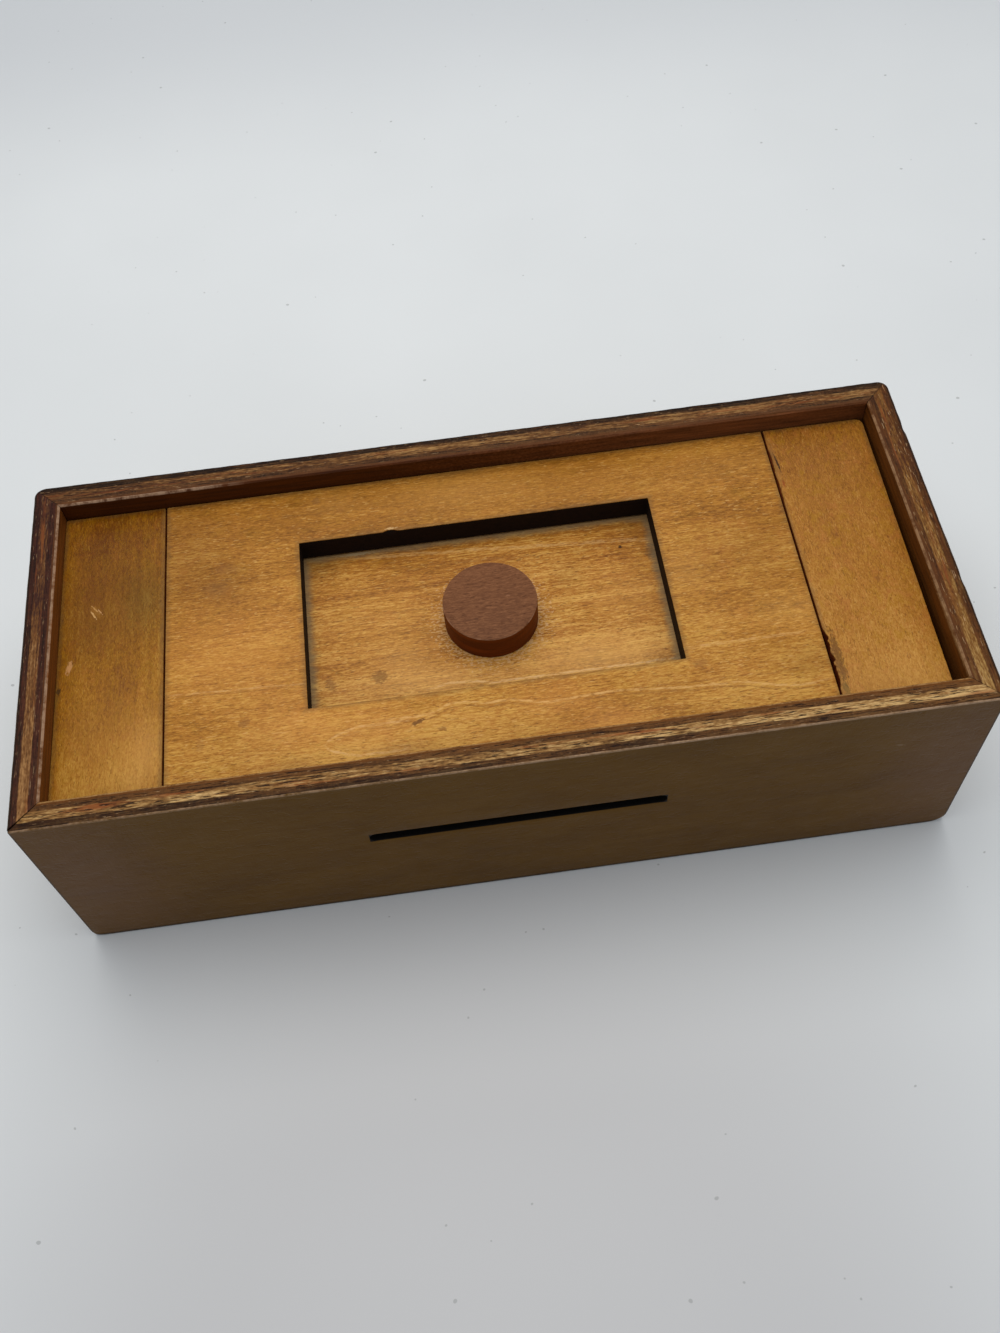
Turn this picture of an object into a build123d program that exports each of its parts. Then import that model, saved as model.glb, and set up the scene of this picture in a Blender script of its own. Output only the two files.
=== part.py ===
"""Sliding lid wooden box: a mitred plywood box with a windowed deck and a knob that slides below it.

Millimetres. The origin is on the resting face, at the middle of the footprint.
+X runs along the length, to the right; +Y goes to the back wall; +Z is up.
"""

from build123d import *
import os

os.makedirs("parts", exist_ok=True)

# ---------------------------------------------------------------- driving dimensions

# the case
box_length = 200.0
box_width = 88.0
box_height = 56.0
wall = 6.0                  # plywood of five plies
front_corner_radius = 0.5   # the two upright corners at the front, left crisp
back_corner_radius = 2.4    # the two at the back, eased on the sander
foot_radius = 0.4           # outer edge at the foot
rim_radius = 0.4            # outer arris of the rim
rim_inner_break = 0.35      # inner arris of the rim, just broken
bottom_thickness = 4.0
rebate_depth = 2.5          # how far the bottom's rebate goes into each wall
open_mitre = 0.6            # the front left mitre stands open by this at its outer corner

# the note slot through the front wall
slot_length = 64.0
slot_height = 3.2
slot_x = 0.4
slot_z = 31.7

# the deck: fixed end strip, windowed lid and loose key strip, all one thickness
deck_drop = 5.0             # from the rim down to the top of the deck
deck_thickness = 6.0
left_strip_width = 23.1
left_joint_gap = 0.35       # hairline between the fixed strip and the lid
lid_length_back = 139.9     # the lid's right end was sawn a little out of square
lid_length_front = 139.5
key_joint_gap = 0.45        # between the lid and the key strip
key_width_back = 23.6       # the key strip is a slight wedge, narrower at its front
key_width_front = 23.0
key_corner_radius = 1.6
deck_side_clearance = 0.3   # to the front wall and to the back wall
edge_break = 0.15           # arris taken off the deck pieces

# the window in the lid
window_length = 80.0
window_width = 44.0
window_x = -0.4
window_y = 0.3

# the slide panel and its knob
slide_length = 135.0
slide_thickness = 4.0
slide_gap_above = 0.3       # running clearance under the lid
slide_side_clearance = 0.3  # to each guide ledge
slide_corner_radius = 2.0
slide_rest_x = 0.5
knob_diameter = 20.8
knob_height = 7.0
knob_y = -0.8
knob_edge_radius = 0.35
dowel_diameter = 6.0
dowel_in_knob = 4.5

# the ledges along the front and back walls
lid_ledge_width = 6.0
slide_ledge_width = 12.0
slide_ledge_height = 6.0

# ---------------------------------------------------------------- levels and places

inner_length = box_length - 2 * wall
inner_width = box_width - 2 * wall
half_inner_length = inner_length / 2
deck_top = box_height - deck_drop
deck_bottom = deck_top - deck_thickness
slide_top = deck_bottom - slide_gap_above
slide_bottom = slide_top - slide_thickness
slide_ledge_bottom = slide_bottom - slide_ledge_height

deck_width = inner_width - 2 * deck_side_clearance
half_deck = deck_width / 2
lid_left = -half_inner_length + left_strip_width + left_joint_gap
lid_back_right = lid_left + lid_length_back
lid_front_right = lid_left + lid_length_front
key_back_left = lid_back_right + key_joint_gap
key_front_left = lid_front_right + key_joint_gap
slide_width = inner_width - 2 * lid_ledge_width - 2 * slide_side_clearance


# ---------------------------------------------------------------- the four walls

# The walls start as one ring, so that their rounded edges meet across every mitre.
with BuildPart() as carcass:
    with BuildSketch():
        Rectangle(box_length, box_width)
        fillet(vertices().group_by(Axis.Y)[0], radius=front_corner_radius)
        fillet(vertices().group_by(Axis.Y)[-1], radius=back_corner_radius)
        Rectangle(inner_length, inner_width, mode=Mode.SUBTRACT)
    extrude(amount=box_height)
    fillet(faces().sort_by(Axis.Z)[0].outer_wire().edges(), radius=foot_radius)
    fillet(faces().sort_by(Axis.Z)[-1].outer_wire().edges(), radius=rim_radius)
    chamfer(faces().sort_by(Axis.Z)[-1].inner_wires()[0].edges(), length=rim_inner_break)
    # the rebate that the bottom panel is glued into
    with BuildSketch():
        Rectangle(inner_length + 2 * rebate_depth, inner_width + 2 * rebate_depth)
    extrude(amount=bottom_thickness, mode=Mode.SUBTRACT)


def cut_wall(outline):
    """Cut one wall out of the ring, between the mitre lines of its plan outline."""
    with BuildPart() as board:
        add(carcass.part)
        with BuildSketch():
            with BuildLine():
                Polyline(*outline, close=True)
            make_face()
        extrude(amount=box_height, mode=Mode.INTERSECT)
    return board


outer_x = box_length / 2
outer_y = box_width / 2
inner_x = inner_length / 2
inner_y = inner_width / 2

front_wall = cut_wall([(-outer_x, -outer_y), (outer_x, -outer_y), (inner_x, -inner_y), (-inner_x, -inner_y)])
back_wall = cut_wall([(-outer_x, outer_y), (-inner_x, inner_y), (inner_x, inner_y), (outer_x, outer_y)])
right_wall = cut_wall([(outer_x, -outer_y), (outer_x, outer_y), (inner_x, inner_y), (inner_x, -inner_y)])
left_wall = cut_wall(
    [(-outer_x, -outer_y + open_mitre), (-inner_x, -inner_y), (-inner_x, inner_y), (-outer_x, outer_y)]
)

# The slot has round ends and goes straight through the front wall.
with BuildPart() as slotted_front:
    add(front_wall.part)
    with BuildSketch(Plane.XZ.offset(inner_y)):
        with Locations((slot_x, slot_z)):
            SlotOverall(slot_length, slot_height)
    extrude(amount=wall, mode=Mode.SUBTRACT)

slotted_front.part.label = "front_wall"
export_step(slotted_front.part, "parts/front_wall.step")

back_wall.part.label = "back_wall"
export_step(back_wall.part, "parts/back_wall.step")

left_wall.part.label = "left_wall"
export_step(left_wall.part, "parts/left_wall.step")

right_wall.part.label = "right_wall"
export_step(right_wall.part, "parts/right_wall.step")


# ---------------------------------------------------------------- the bottom panel

with BuildPart() as bottom_panel:
    with BuildSketch():
        Rectangle(inner_length + 2 * rebate_depth, inner_width + 2 * rebate_depth)
    extrude(amount=bottom_thickness)

bottom_panel.part.label = "bottom_panel"
export_step(bottom_panel.part, "parts/bottom_panel.step")


# ---------------------------------------------------------------- the ledges

def make_ledge(name, side, width, low, high):
    """Make a strip glued along the front (side = -1) or back (side = 1) wall, between two levels."""
    with BuildPart() as ledge:
        with BuildSketch(Plane.XY.offset(low)):
            with Locations((0, side * (inner_y - width / 2))):
                Rectangle(inner_length, width)
        extrude(amount=high - low)
    ledge.part.label = name
    export_step(ledge.part, "parts/" + name + ".step")


for wall_name, side in (("front", -1), ("back", 1)):
    make_ledge(wall_name + "_slide_ledge", side, slide_ledge_width, slide_ledge_bottom, slide_bottom)
    make_ledge(wall_name + "_lid_ledge", side, lid_ledge_width, slide_bottom, deck_bottom)


# ---------------------------------------------------------------- the deck

with BuildPart() as left_end_strip:
    with BuildSketch(Plane.XY.offset(deck_bottom)):
        with Locations((-half_inner_length + left_strip_width / 2, 0)):
            Rectangle(left_strip_width, deck_width)
    extrude(amount=deck_thickness)
    chamfer(faces().sort_by(Axis.Z)[-1].edges().sort_by(Axis.X)[-1], length=edge_break)

left_end_strip.part.label = "left_end_strip"
export_step(left_end_strip.part, "parts/left_end_strip.step")

with BuildPart() as lid_panel:
    with BuildSketch(Plane.XY.offset(deck_bottom)):
        with BuildLine():
            Polyline(
                (lid_left, -half_deck),
                (lid_front_right, -half_deck),
                (lid_back_right, half_deck),
                (lid_left, half_deck),
                close=True,
            )
        make_face()
        with Locations((window_x, window_y)):
            Rectangle(window_length, window_width, mode=Mode.SUBTRACT)
    extrude(amount=deck_thickness)
    chamfer(faces().sort_by(Axis.Z)[-1].edges(), length=edge_break)

lid_panel.part.label = "lid_panel"
export_step(lid_panel.part, "parts/lid_panel.step")

# The key strip's right side slants, which leaves a gap that opens towards the front.
with BuildPart() as key_strip:
    with BuildSketch(Plane.XY.offset(deck_bottom)):
        with BuildLine():
            Polyline(
                (key_front_left, -half_deck),
                (key_front_left + key_width_front, -half_deck),
                (key_back_left + key_width_back, half_deck),
                (key_back_left, half_deck),
                close=True,
            )
        make_face()
        fillet(vertices().sort_by(Axis.X)[-2:], radius=key_corner_radius)
    extrude(amount=deck_thickness)
    chamfer(faces().sort_by(Axis.Z)[-1].edges(), length=edge_break)

key_strip.part.label = "key_strip"
export_step(key_strip.part, "parts/key_strip.step")


# ---------------------------------------------------------------- the slide panel and its knob

with BuildPart() as slide_panel:
    with BuildSketch(Plane.XY.offset(slide_bottom)):
        with Locations((slide_rest_x, 0)):
            Rectangle(slide_length, slide_width)
        fillet(vertices(), radius=slide_corner_radius)
        with Locations((slide_rest_x, knob_y)):
            Circle(dowel_diameter / 2, mode=Mode.SUBTRACT)
    extrude(amount=slide_thickness)

slide_panel.part.label = "slide_panel"
export_step(slide_panel.part, "parts/slide_panel.step")

with BuildPart() as knob:
    with BuildSketch(Plane.XY.offset(slide_top)):
        with Locations((slide_rest_x, knob_y)):
            Circle(knob_diameter / 2)
    extrude(amount=knob_height)
    fillet(faces().sort_by(Axis.Z)[-1].edges(), radius=knob_edge_radius)
    with BuildSketch(Plane.XY.offset(slide_top)):
        with Locations((slide_rest_x, knob_y)):
            Circle(dowel_diameter / 2)
    extrude(amount=dowel_in_knob, mode=Mode.SUBTRACT)

knob.part.label = "knob"
export_step(knob.part, "parts/knob.step")

with BuildPart() as knob_dowel:
    with BuildSketch(Plane.XY.offset(slide_bottom)):
        with Locations((slide_rest_x, knob_y)):
            Circle(dowel_diameter / 2)
    extrude(amount=slide_thickness + dowel_in_knob)

knob_dowel.part.label = "knob_dowel"
export_step(knob_dowel.part, "parts/knob_dowel.step")
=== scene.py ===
"""The sliding lid box, dressed: worn plywood walls, a golden deck, a dark knob and a pale table."""

import logging
import math
from collections.abc import Callable
from dataclasses import dataclass, field
from enum import Enum

import bmesh
import bpy
from mathutils import Euler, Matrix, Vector, noise


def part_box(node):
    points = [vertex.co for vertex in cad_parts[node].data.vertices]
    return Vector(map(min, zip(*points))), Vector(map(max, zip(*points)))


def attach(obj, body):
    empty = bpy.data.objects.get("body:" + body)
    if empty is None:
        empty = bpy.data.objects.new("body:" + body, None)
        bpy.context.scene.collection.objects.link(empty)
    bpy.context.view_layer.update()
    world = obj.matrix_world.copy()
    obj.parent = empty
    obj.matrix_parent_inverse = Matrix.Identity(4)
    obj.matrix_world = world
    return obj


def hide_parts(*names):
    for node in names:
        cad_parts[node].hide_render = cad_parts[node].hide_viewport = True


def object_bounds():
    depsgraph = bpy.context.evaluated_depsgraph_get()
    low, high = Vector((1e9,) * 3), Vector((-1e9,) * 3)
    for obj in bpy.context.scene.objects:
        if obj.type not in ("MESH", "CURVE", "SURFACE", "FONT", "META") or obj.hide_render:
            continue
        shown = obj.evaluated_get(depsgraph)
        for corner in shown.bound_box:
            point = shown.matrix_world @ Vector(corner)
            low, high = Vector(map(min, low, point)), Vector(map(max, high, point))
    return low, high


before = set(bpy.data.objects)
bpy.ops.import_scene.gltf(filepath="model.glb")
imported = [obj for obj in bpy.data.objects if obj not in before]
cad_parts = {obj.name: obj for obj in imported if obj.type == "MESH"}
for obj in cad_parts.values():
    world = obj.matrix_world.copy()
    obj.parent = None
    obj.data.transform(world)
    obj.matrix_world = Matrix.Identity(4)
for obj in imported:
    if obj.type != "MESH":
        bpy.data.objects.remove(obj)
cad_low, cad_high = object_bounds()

log = logging.getLogger("sliding_lid_box")

MM = 0.001
SHARP_ANGLE = math.radians(38)
SOFT_STEP = {"interpolation_type": "SMOOTHSTEP"}

# tones that come up again and again in the stained deck
HONEY = "#E4AC5C"                  # stain taken thinly
AMBER = "#E49C50"                  # the same, but redder
CHESTNUT = "#6E3E14"               # stain taken thickly
TOBACCO = "#5E3410"                # the same, but darker
UMBER = "#5E330C"                  # as dark, and a little warmer
CORNER_SHADE = "#54340F"           # painted shade on the slide panel in the corners of the window
LINE_BROWN = "#84541F"             # the dark side of a growth line
RED_SPECK = "#7A4818"              # specks in the key strip

Socket = bpy.types.NodeSocket
Value = Socket | float
Paint = Socket | str
Point = tuple[float, float]
Outline = list[tuple[Vector, Vector]]
Ring = list[bmesh.types.BMVert]
Layer = tuple[Value, Paint]


# ---------------------------------------------------------------- colours and node trees

def linear(code: str) -> tuple[float, float, float, float]:
    """Turn an sRGB hex colour into linear light.

    Args:
        code: six hex digits after a hash sign.

    Returns:
        Red, green, blue and a full alpha.
    """
    parts = [int(code[i:i + 2], 16) / 255 for i in (1, 3, 5)]
    light = [c / 12.92 if c <= 0.04045 else ((c + 0.055) / 1.055) ** 2.4 for c in parts]
    return (light[0], light[1], light[2], 1.0)


@dataclass(frozen=True)
class Lie:
    """How a board lies: the axis of its grain, of its width and of its thickness, and where its face is.

    Axes are numbered 0, 1, 2 for X, Y, Z. face_at is in mm, and inward is 1 or -1, the way from that
    face into the board.
    """

    along: int
    across: int
    thick: int
    face_at: float
    inward: float


class Graph:
    """A node tree in the making, which knows where each point of a board lies, in mm."""

    def __init__(self, tree: bpy.types.NodeTree, lie: Lie | None = None) -> None:
        """Empty the tree and measure the board in it.

        Args:
            tree: the node tree of a material or of the world.
            lie: how the board lies, for wood.
        """
        tree.nodes.clear()
        self.tree = tree
        if lie:
            place = self.add("ShaderNodeTexCoord", out=3)
            axes = self.add("ShaderNodeSeparateXYZ", {0: place}).node.outputs
            self.along = self.total([(axes[lie.along], 1 / MM)])
            self.across = self.total([(axes[lie.across], 1 / MM)])
            self.depth = self.total([(axes[lie.thick], lie.inward / MM)], -lie.inward * lie.face_at)

    def add(
        self,
        kind: str,
        inputs: dict[str | int, object] | None = None,
        out: int = 0,
        stops: tuple[tuple[float, str], ...] = (),
        **settings: object,
    ) -> Socket | None:
        """Add a node, set it up, fill or link its inputs and hand back one of its outputs.

        Args:
            kind: the node's type name.
            inputs: input name or number, against a value, a hex colour or an output to link from.
            out: the number of the output to hand back.
            stops: for a colour ramp, its positions and hex colours.
            **settings: attributes of the node.

        Returns:
            The chosen output, or nothing for a node that ends the tree.
        """
        node = self.tree.nodes.new(kind)
        for name, value in settings.items():
            setattr(node, name, value)
        for name, value in (inputs or {}).items():
            if isinstance(value, Socket):
                self.tree.links.new(value, node.inputs[name])
            else:
                node.inputs[name].default_value = linear(value) if isinstance(value, str) else value
        for i, (place, code) in enumerate(stops):
            elements = node.color_ramp.elements
            element = elements[i] if i < 2 else elements.new(place)
            element.position = place
            element.color = linear(code)
        return node.outputs[out] if len(node.outputs) else None

    def total(self, parts: list[tuple[Value, float]], start: float = 0.0) -> Socket:
        """Add up scaled values.

        Args:
            parts: each value with its scale.
            start: what the sum begins from.

        Returns:
            start + value * scale + value * scale, and so on.
        """
        result: Value = start
        for value, scale in parts:
            inputs = {0: value, 1: scale, 2: result}
            result = self.add("ShaderNodeMath", inputs, operation="MULTIPLY_ADD")
        return result

    def product(self, *factors: Value) -> Socket:
        """Multiply values with each other.

        Args:
            *factors: the values, of which the first is an output.

        Returns:
            Their product.
        """
        result = factors[0]
        for factor in factors[1:]:
            result = self.add("ShaderNodeMath", {0: result, 1: factor}, operation="MULTIPLY")
        return result

    def layered(self, base: Paint, layers: list[Layer]) -> Socket:
        """Lay colours over a base colour, one after the other.

        Args:
            base: the colour underneath.
            layers: for each layer, how much of it shows, from 0 to 1, and its colour.

        Returns:
            The colour with every layer on it.
        """
        colour = base
        for share, paint in layers:
            inputs = {0: share, 6: colour, 7: paint}
            colour = self.add("ShaderNodeMix", inputs, out=2, data_type="RGBA")
        return colour

    def band(self, value: Socket, low: float, high: float, soft: float) -> Socket:
        """Mask the values between two levels.

        Args:
            value: what to look at.
            low: where the band begins.
            high: where it ends.
            soft: the width over which it fades in and out.

        Returns:
            1 inside the band and 0 outside.
        """
        rise = self.add("ShaderNodeMapRange", {0: value, 1: low - soft, 2: low + soft}, **SOFT_STEP)
        fall = self.add("ShaderNodeMapRange", {0: value, 1: high + soft, 2: high - soft}, **SOFT_STEP)
        return self.product(rise, fall)

    def grain(
        self,
        long: float,
        wide: float,
        seed: float,
        detail: float = 2.0,
        roughness: float = 0.55,
        deep: float = 4.0,
        curl: float = 0.0,
    ) -> Socket:
        """Make a noise that is drawn out along the grain.

        Args:
            long: size of its features along the grain, in mm.
            wide: their size across the grain, in mm.
            seed: shifts the pattern, so that no two boards match.
            detail: octaves of finer noise.
            roughness: how strong the finer octaves are.
            deep: their size through the thickness, in mm.
            curl: how much the pattern is wrung out of its straight lines.

        Returns:
            A value that swings around zero, mostly within a quarter either way.
        """
        places = ((self.along, long), (self.across, wide), (self.depth, deep))
        scaled = [self.total([(place, 1 / size)], seed * (i + 1)) for i, (place, size) in enumerate(places)]
        vector = self.add("ShaderNodeCombineXYZ", dict(enumerate(scaled)))
        inputs = {"Vector": vector, "Scale": 1.0, "Detail": detail, "Roughness": roughness}
        inputs["Distortion"] = curl
        return self.total([(self.add("ShaderNodeTexNoise", inputs), 1.0)], -0.5)

    def far_from(self, middle: Point, half: Point) -> Socket:
        """Measure how far a point of the face lies outside a rectangle.

        Args:
            middle: the rectangle's middle, along and across the grain, in mm.
            half: half its size, along and across the grain, in mm.

        Returns:
            The distance in mm, negative inside.
        """
        gaps = []
        for place, centre, reach in ((self.along, middle[0], half[0]), (self.across, middle[1], half[1])):
            offset = self.total([(place, 1.0)], -centre)
            apart = self.add("ShaderNodeMath", {0: offset}, operation="ABSOLUTE")
            gaps.append(self.total([(apart, 1.0)], -reach))
        return self.add("ShaderNodeMath", dict(enumerate(gaps)), operation="MAXIMUM")

    def surface(self, colour: Paint, relief: Socket, rough: Value, shine: float = 0.5) -> None:
        """End the tree with a shader and an output.

        Args:
            colour: the colour of the surface.
            relief: the height of its relief, in mm.
            rough: its roughness.
            shine: its specular level, 0.5 for a closed film and less where the pores lie open.
        """
        bump = {"Strength": 1.0, "Distance": MM, "Height": relief}
        inputs = {"Base Color": colour, "Roughness": rough, "IOR": 1.5, "Specular IOR Level": shine}
        inputs["Normal"] = self.add("ShaderNodeBump", bump)
        shader = self.add("ShaderNodeBsdfPrincipled", inputs)
        self.add("ShaderNodeOutputMaterial", {"Surface": shader})


def new_material(name: str, lie: Lie | None = None) -> tuple[bpy.types.Material, Graph]:
    """Make a material with an empty node tree.

    Args:
        name: the material's name.
        lie: how the board that wears it lies.

    Returns:
        The material and its tree in the making.
    """
    material = bpy.data.materials.new(name)
    material.use_nodes = True
    return material, Graph(material.node_tree, lie)


# ---------------------------------------------------------------- what is drawn on the wood

@dataclass(frozen=True)
class GrowthLine:
    """A growth line in the veneer: a thin line along the grain, with bends in it, in mm.

    Each bend is where along the grain it is, how far it reaches either way and how far it shifts the
    line across the grain.
    """

    across: float
    slope: float
    width: float
    colour: str
    strength: float
    begin: float
    end: float
    bends: tuple[tuple[float, float, float], ...] = ()
    wander: float = 0.5
    tongue: Point = (0.0, 1.0)     # half the gap between its two branches, and how soon they part

    def mask(self, graph: Graph, seed: float) -> Socket:
        """Say how much of the line shows at each place.

        Args:
            graph: the tree to draw in.
            seed: shifts the wandering of the line.

        Returns:
            0 where the line is absent, up to its strength on the line.
        """
        parts = [(graph.across, 1.0), (graph.along, -self.slope)]
        parts.append((graph.grain(5.0, 60.0, seed, detail=4.0, roughness=0.7), 2 * self.wander))
        for middle, reach, shift in self.bends:
            parts.append((graph.band(graph.along, middle - reach, middle + reach, reach * 0.8), -shift))
        offset = graph.total(parts, -self.across)
        half_gap, opening = self.tongue
        if half_gap:
            parted = {0: graph.along, 1: self.begin, 2: self.begin + opening}
            parting = graph.add("ShaderNodeMapRange", parted)
            gap = graph.add("ShaderNodeMath", {0: parting, 1: 0.5}, operation="POWER")
            either = graph.add("ShaderNodeMath", {0: offset}, operation="ABSOLUTE")
            offset = graph.total([(either, 1.0), (gap, -half_gap)])
        apart = graph.add("ShaderNodeMath", {0: offset}, operation="ABSOLUTE")
        near = graph.add("ShaderNodeMapRange", {0: apart, 1: self.width, 2: self.width * 0.35}, **SOFT_STEP)
        worn = {0: graph.grain(2.4, 0.5, seed + 1, detail=3.0, roughness=0.75), 1: -0.14, 2: 0.12}
        whole = graph.add("ShaderNodeMapRange", worn, **SOFT_STEP)
        stretch = graph.band(graph.along, self.begin, self.end, 0.8 if half_gap else 4.0)
        return graph.product(near, whole, stretch, self.strength)


@dataclass(frozen=True)
class Mark:
    """A scuff or a stain on the wood: a ragged ellipse, in mm, turned by some degrees."""

    along: float
    across: float
    long: float
    wide: float
    colour: str
    strength: float = 0.8
    turn: float = 0.0
    soft: float = 0.3              # how gently it fades out

    def mask(self, graph: Graph, seed: float) -> Socket:
        """Say how much of the mark shows at each place.

        Args:
            graph: the tree to draw in.
            seed: shifts the raggedness of its outline.

        Returns:
            0 outside the mark, up to its strength inside.
        """
        cosine, sine = math.cos(math.radians(self.turn)), math.sin(math.radians(self.turn))
        ways = ((cosine, sine, self.long / 2), (-sine, cosine, self.wide / 2))
        reach = []
        for first, second, half in ways:
            start = -(self.along * first + self.across * second) / half
            reach.append(graph.total([(graph.along, first / half), (graph.across, second / half)], start))
        place = graph.add("ShaderNodeCombineXYZ", dict(enumerate(reach)))
        radius = graph.add("ShaderNodeVectorMath", {0: place}, out=1, operation="LENGTH")
        edge = graph.total([(radius, 1.0), (graph.grain(0.8, 0.45, seed, detail=1.0), 1.8)])
        fade = {0: edge, 1: 0.85 + self.soft, 2: 0.85 - self.soft}
        near = graph.add("ShaderNodeMapRange", fade, **SOFT_STEP)
        return graph.product(near, self.strength)


@dataclass(frozen=True)
class Cloud(Mark):
    """A wide patch, lighter or darker, with no edge to be seen: where the stain took unevenly, and in
    places painted light and shade.
    """

    soft: float = 0.8


@dataclass(frozen=True)
class Veneer:
    """Birch veneer under a golden brown stain: peeled from the log, sanded and wiped with colour.

    To the eye it is a warm tone with short fine flecks along the grain, cloudy patches where the
    stain took unevenly, and a few wandering growth lines.
    """

    dark: str
    middle: str
    light: str
    pore: str
    seed: float
    contrast: float = 1.0
    cloud: float = 1.0                # how strong the cloudy patches are
    streak: float = 1.0               # how strong the long streaks are
    curl: float = 0.5                 # how much the flecks are wrung out of straight lines
    fleck_long: float = 2.4
    fleck_wide: float = 0.36          # drawn coarser than the real 0.1 mm vessels, so that they show
    speck_wide: float = 0.32          # width of the pores and glints, coarser for the same reason
    pore_share: float = 0.6
    glint: str = "#DDB06C"            # fibres that catch the light
    glint_share: float = 0.0
    olive: str = "#A47A22"            # where the stain dried yellow
    blush: str = "#BA7436"            # and where it dried red
    mottle_share: float = 0.0
    mottle_size: float = 5.0
    tone: float = 0.5                 # the tone at the middle of the board, from dark 0 to light 1
    painted_light_along: float = 0.0           # painted light and shade: how much lighter it gets for each mm along the grain
    painted_light_across: float = 0.0          # and for each mm across it
    lines: tuple[GrowthLine, ...] = ()
    marks: tuple[Mark, ...] = ()

    def draw(self, graph: Graph) -> tuple[Socket, Socket]:
        """Draw the veneer.

        Args:
            graph: the tree to draw in.

        Returns:
            The colour, and the height of its relief in mm.
        """
        seed = self.seed
        cloud = graph.grain(26.0, 13.0, seed, detail=3.0)
        fleck = graph.grain(self.fleck_long, self.fleck_wide, seed + 3.1, roughness=0.7, curl=self.curl)
        silk = graph.grain(1.1, 0.3, seed + 7.7, detail=2.0, roughness=0.7, curl=self.curl)
        streak = graph.grain(48.0, 1.5, seed + 5.3, detail=3.0)
        tone = graph.total(
            [
                (cloud, 0.95 * self.cloud * self.contrast),
                (fleck, 1.15 * self.contrast),
                (silk, 0.95 * self.contrast),
                (streak, 0.55 * self.streak * self.contrast),
                (graph.along, self.painted_light_along),
                (graph.across, self.painted_light_across),
            ],
            self.tone,
        )
        stops = ((0.0, self.dark), (1.0, self.light), (0.5, self.middle))
        colour = graph.add("ShaderNodeValToRGB", {0: tone}, stops=stops)
        specks = []
        for long, shift in ((1.5, 12.9), (1.6, 15.9)):
            speck = graph.grain(long, self.speck_wide, seed + shift, detail=1.0, curl=self.curl)
            specks.append(graph.add("ShaderNodeMapRange", {0: speck, 1: 0.13, 2: 0.22}, **SOFT_STEP))
        pore, glint = specks
        size = self.mottle_size
        mottle = graph.grain(size, size * 0.7, seed + 18.3, detail=4.0, roughness=0.7, curl=1.0)
        olive = graph.add("ShaderNodeMapRange", {0: mottle, 1: 0.0, 2: 0.2}, **SOFT_STEP)
        blush = graph.add("ShaderNodeMapRange", {0: mottle, 1: 0.0, 2: -0.2}, **SOFT_STEP)
        layers: list[Layer] = [
            (graph.product(olive, self.mottle_share), self.olive),
            (graph.product(blush, self.mottle_share), self.blush),
            (graph.product(glint, self.glint_share), self.glint),
            (graph.product(pore, self.pore_share), self.pore),
        ]
        for number, drawn in enumerate((*self.lines, *self.marks)):
            layers.append((drawn.mask(graph, seed + 20 + number), drawn.colour))
        relief = graph.total([(fleck, 0.035), (silk, 0.015), (pore, -0.03), (cloud, 0.05)])
        return graph.layered(colour, layers), relief


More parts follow.
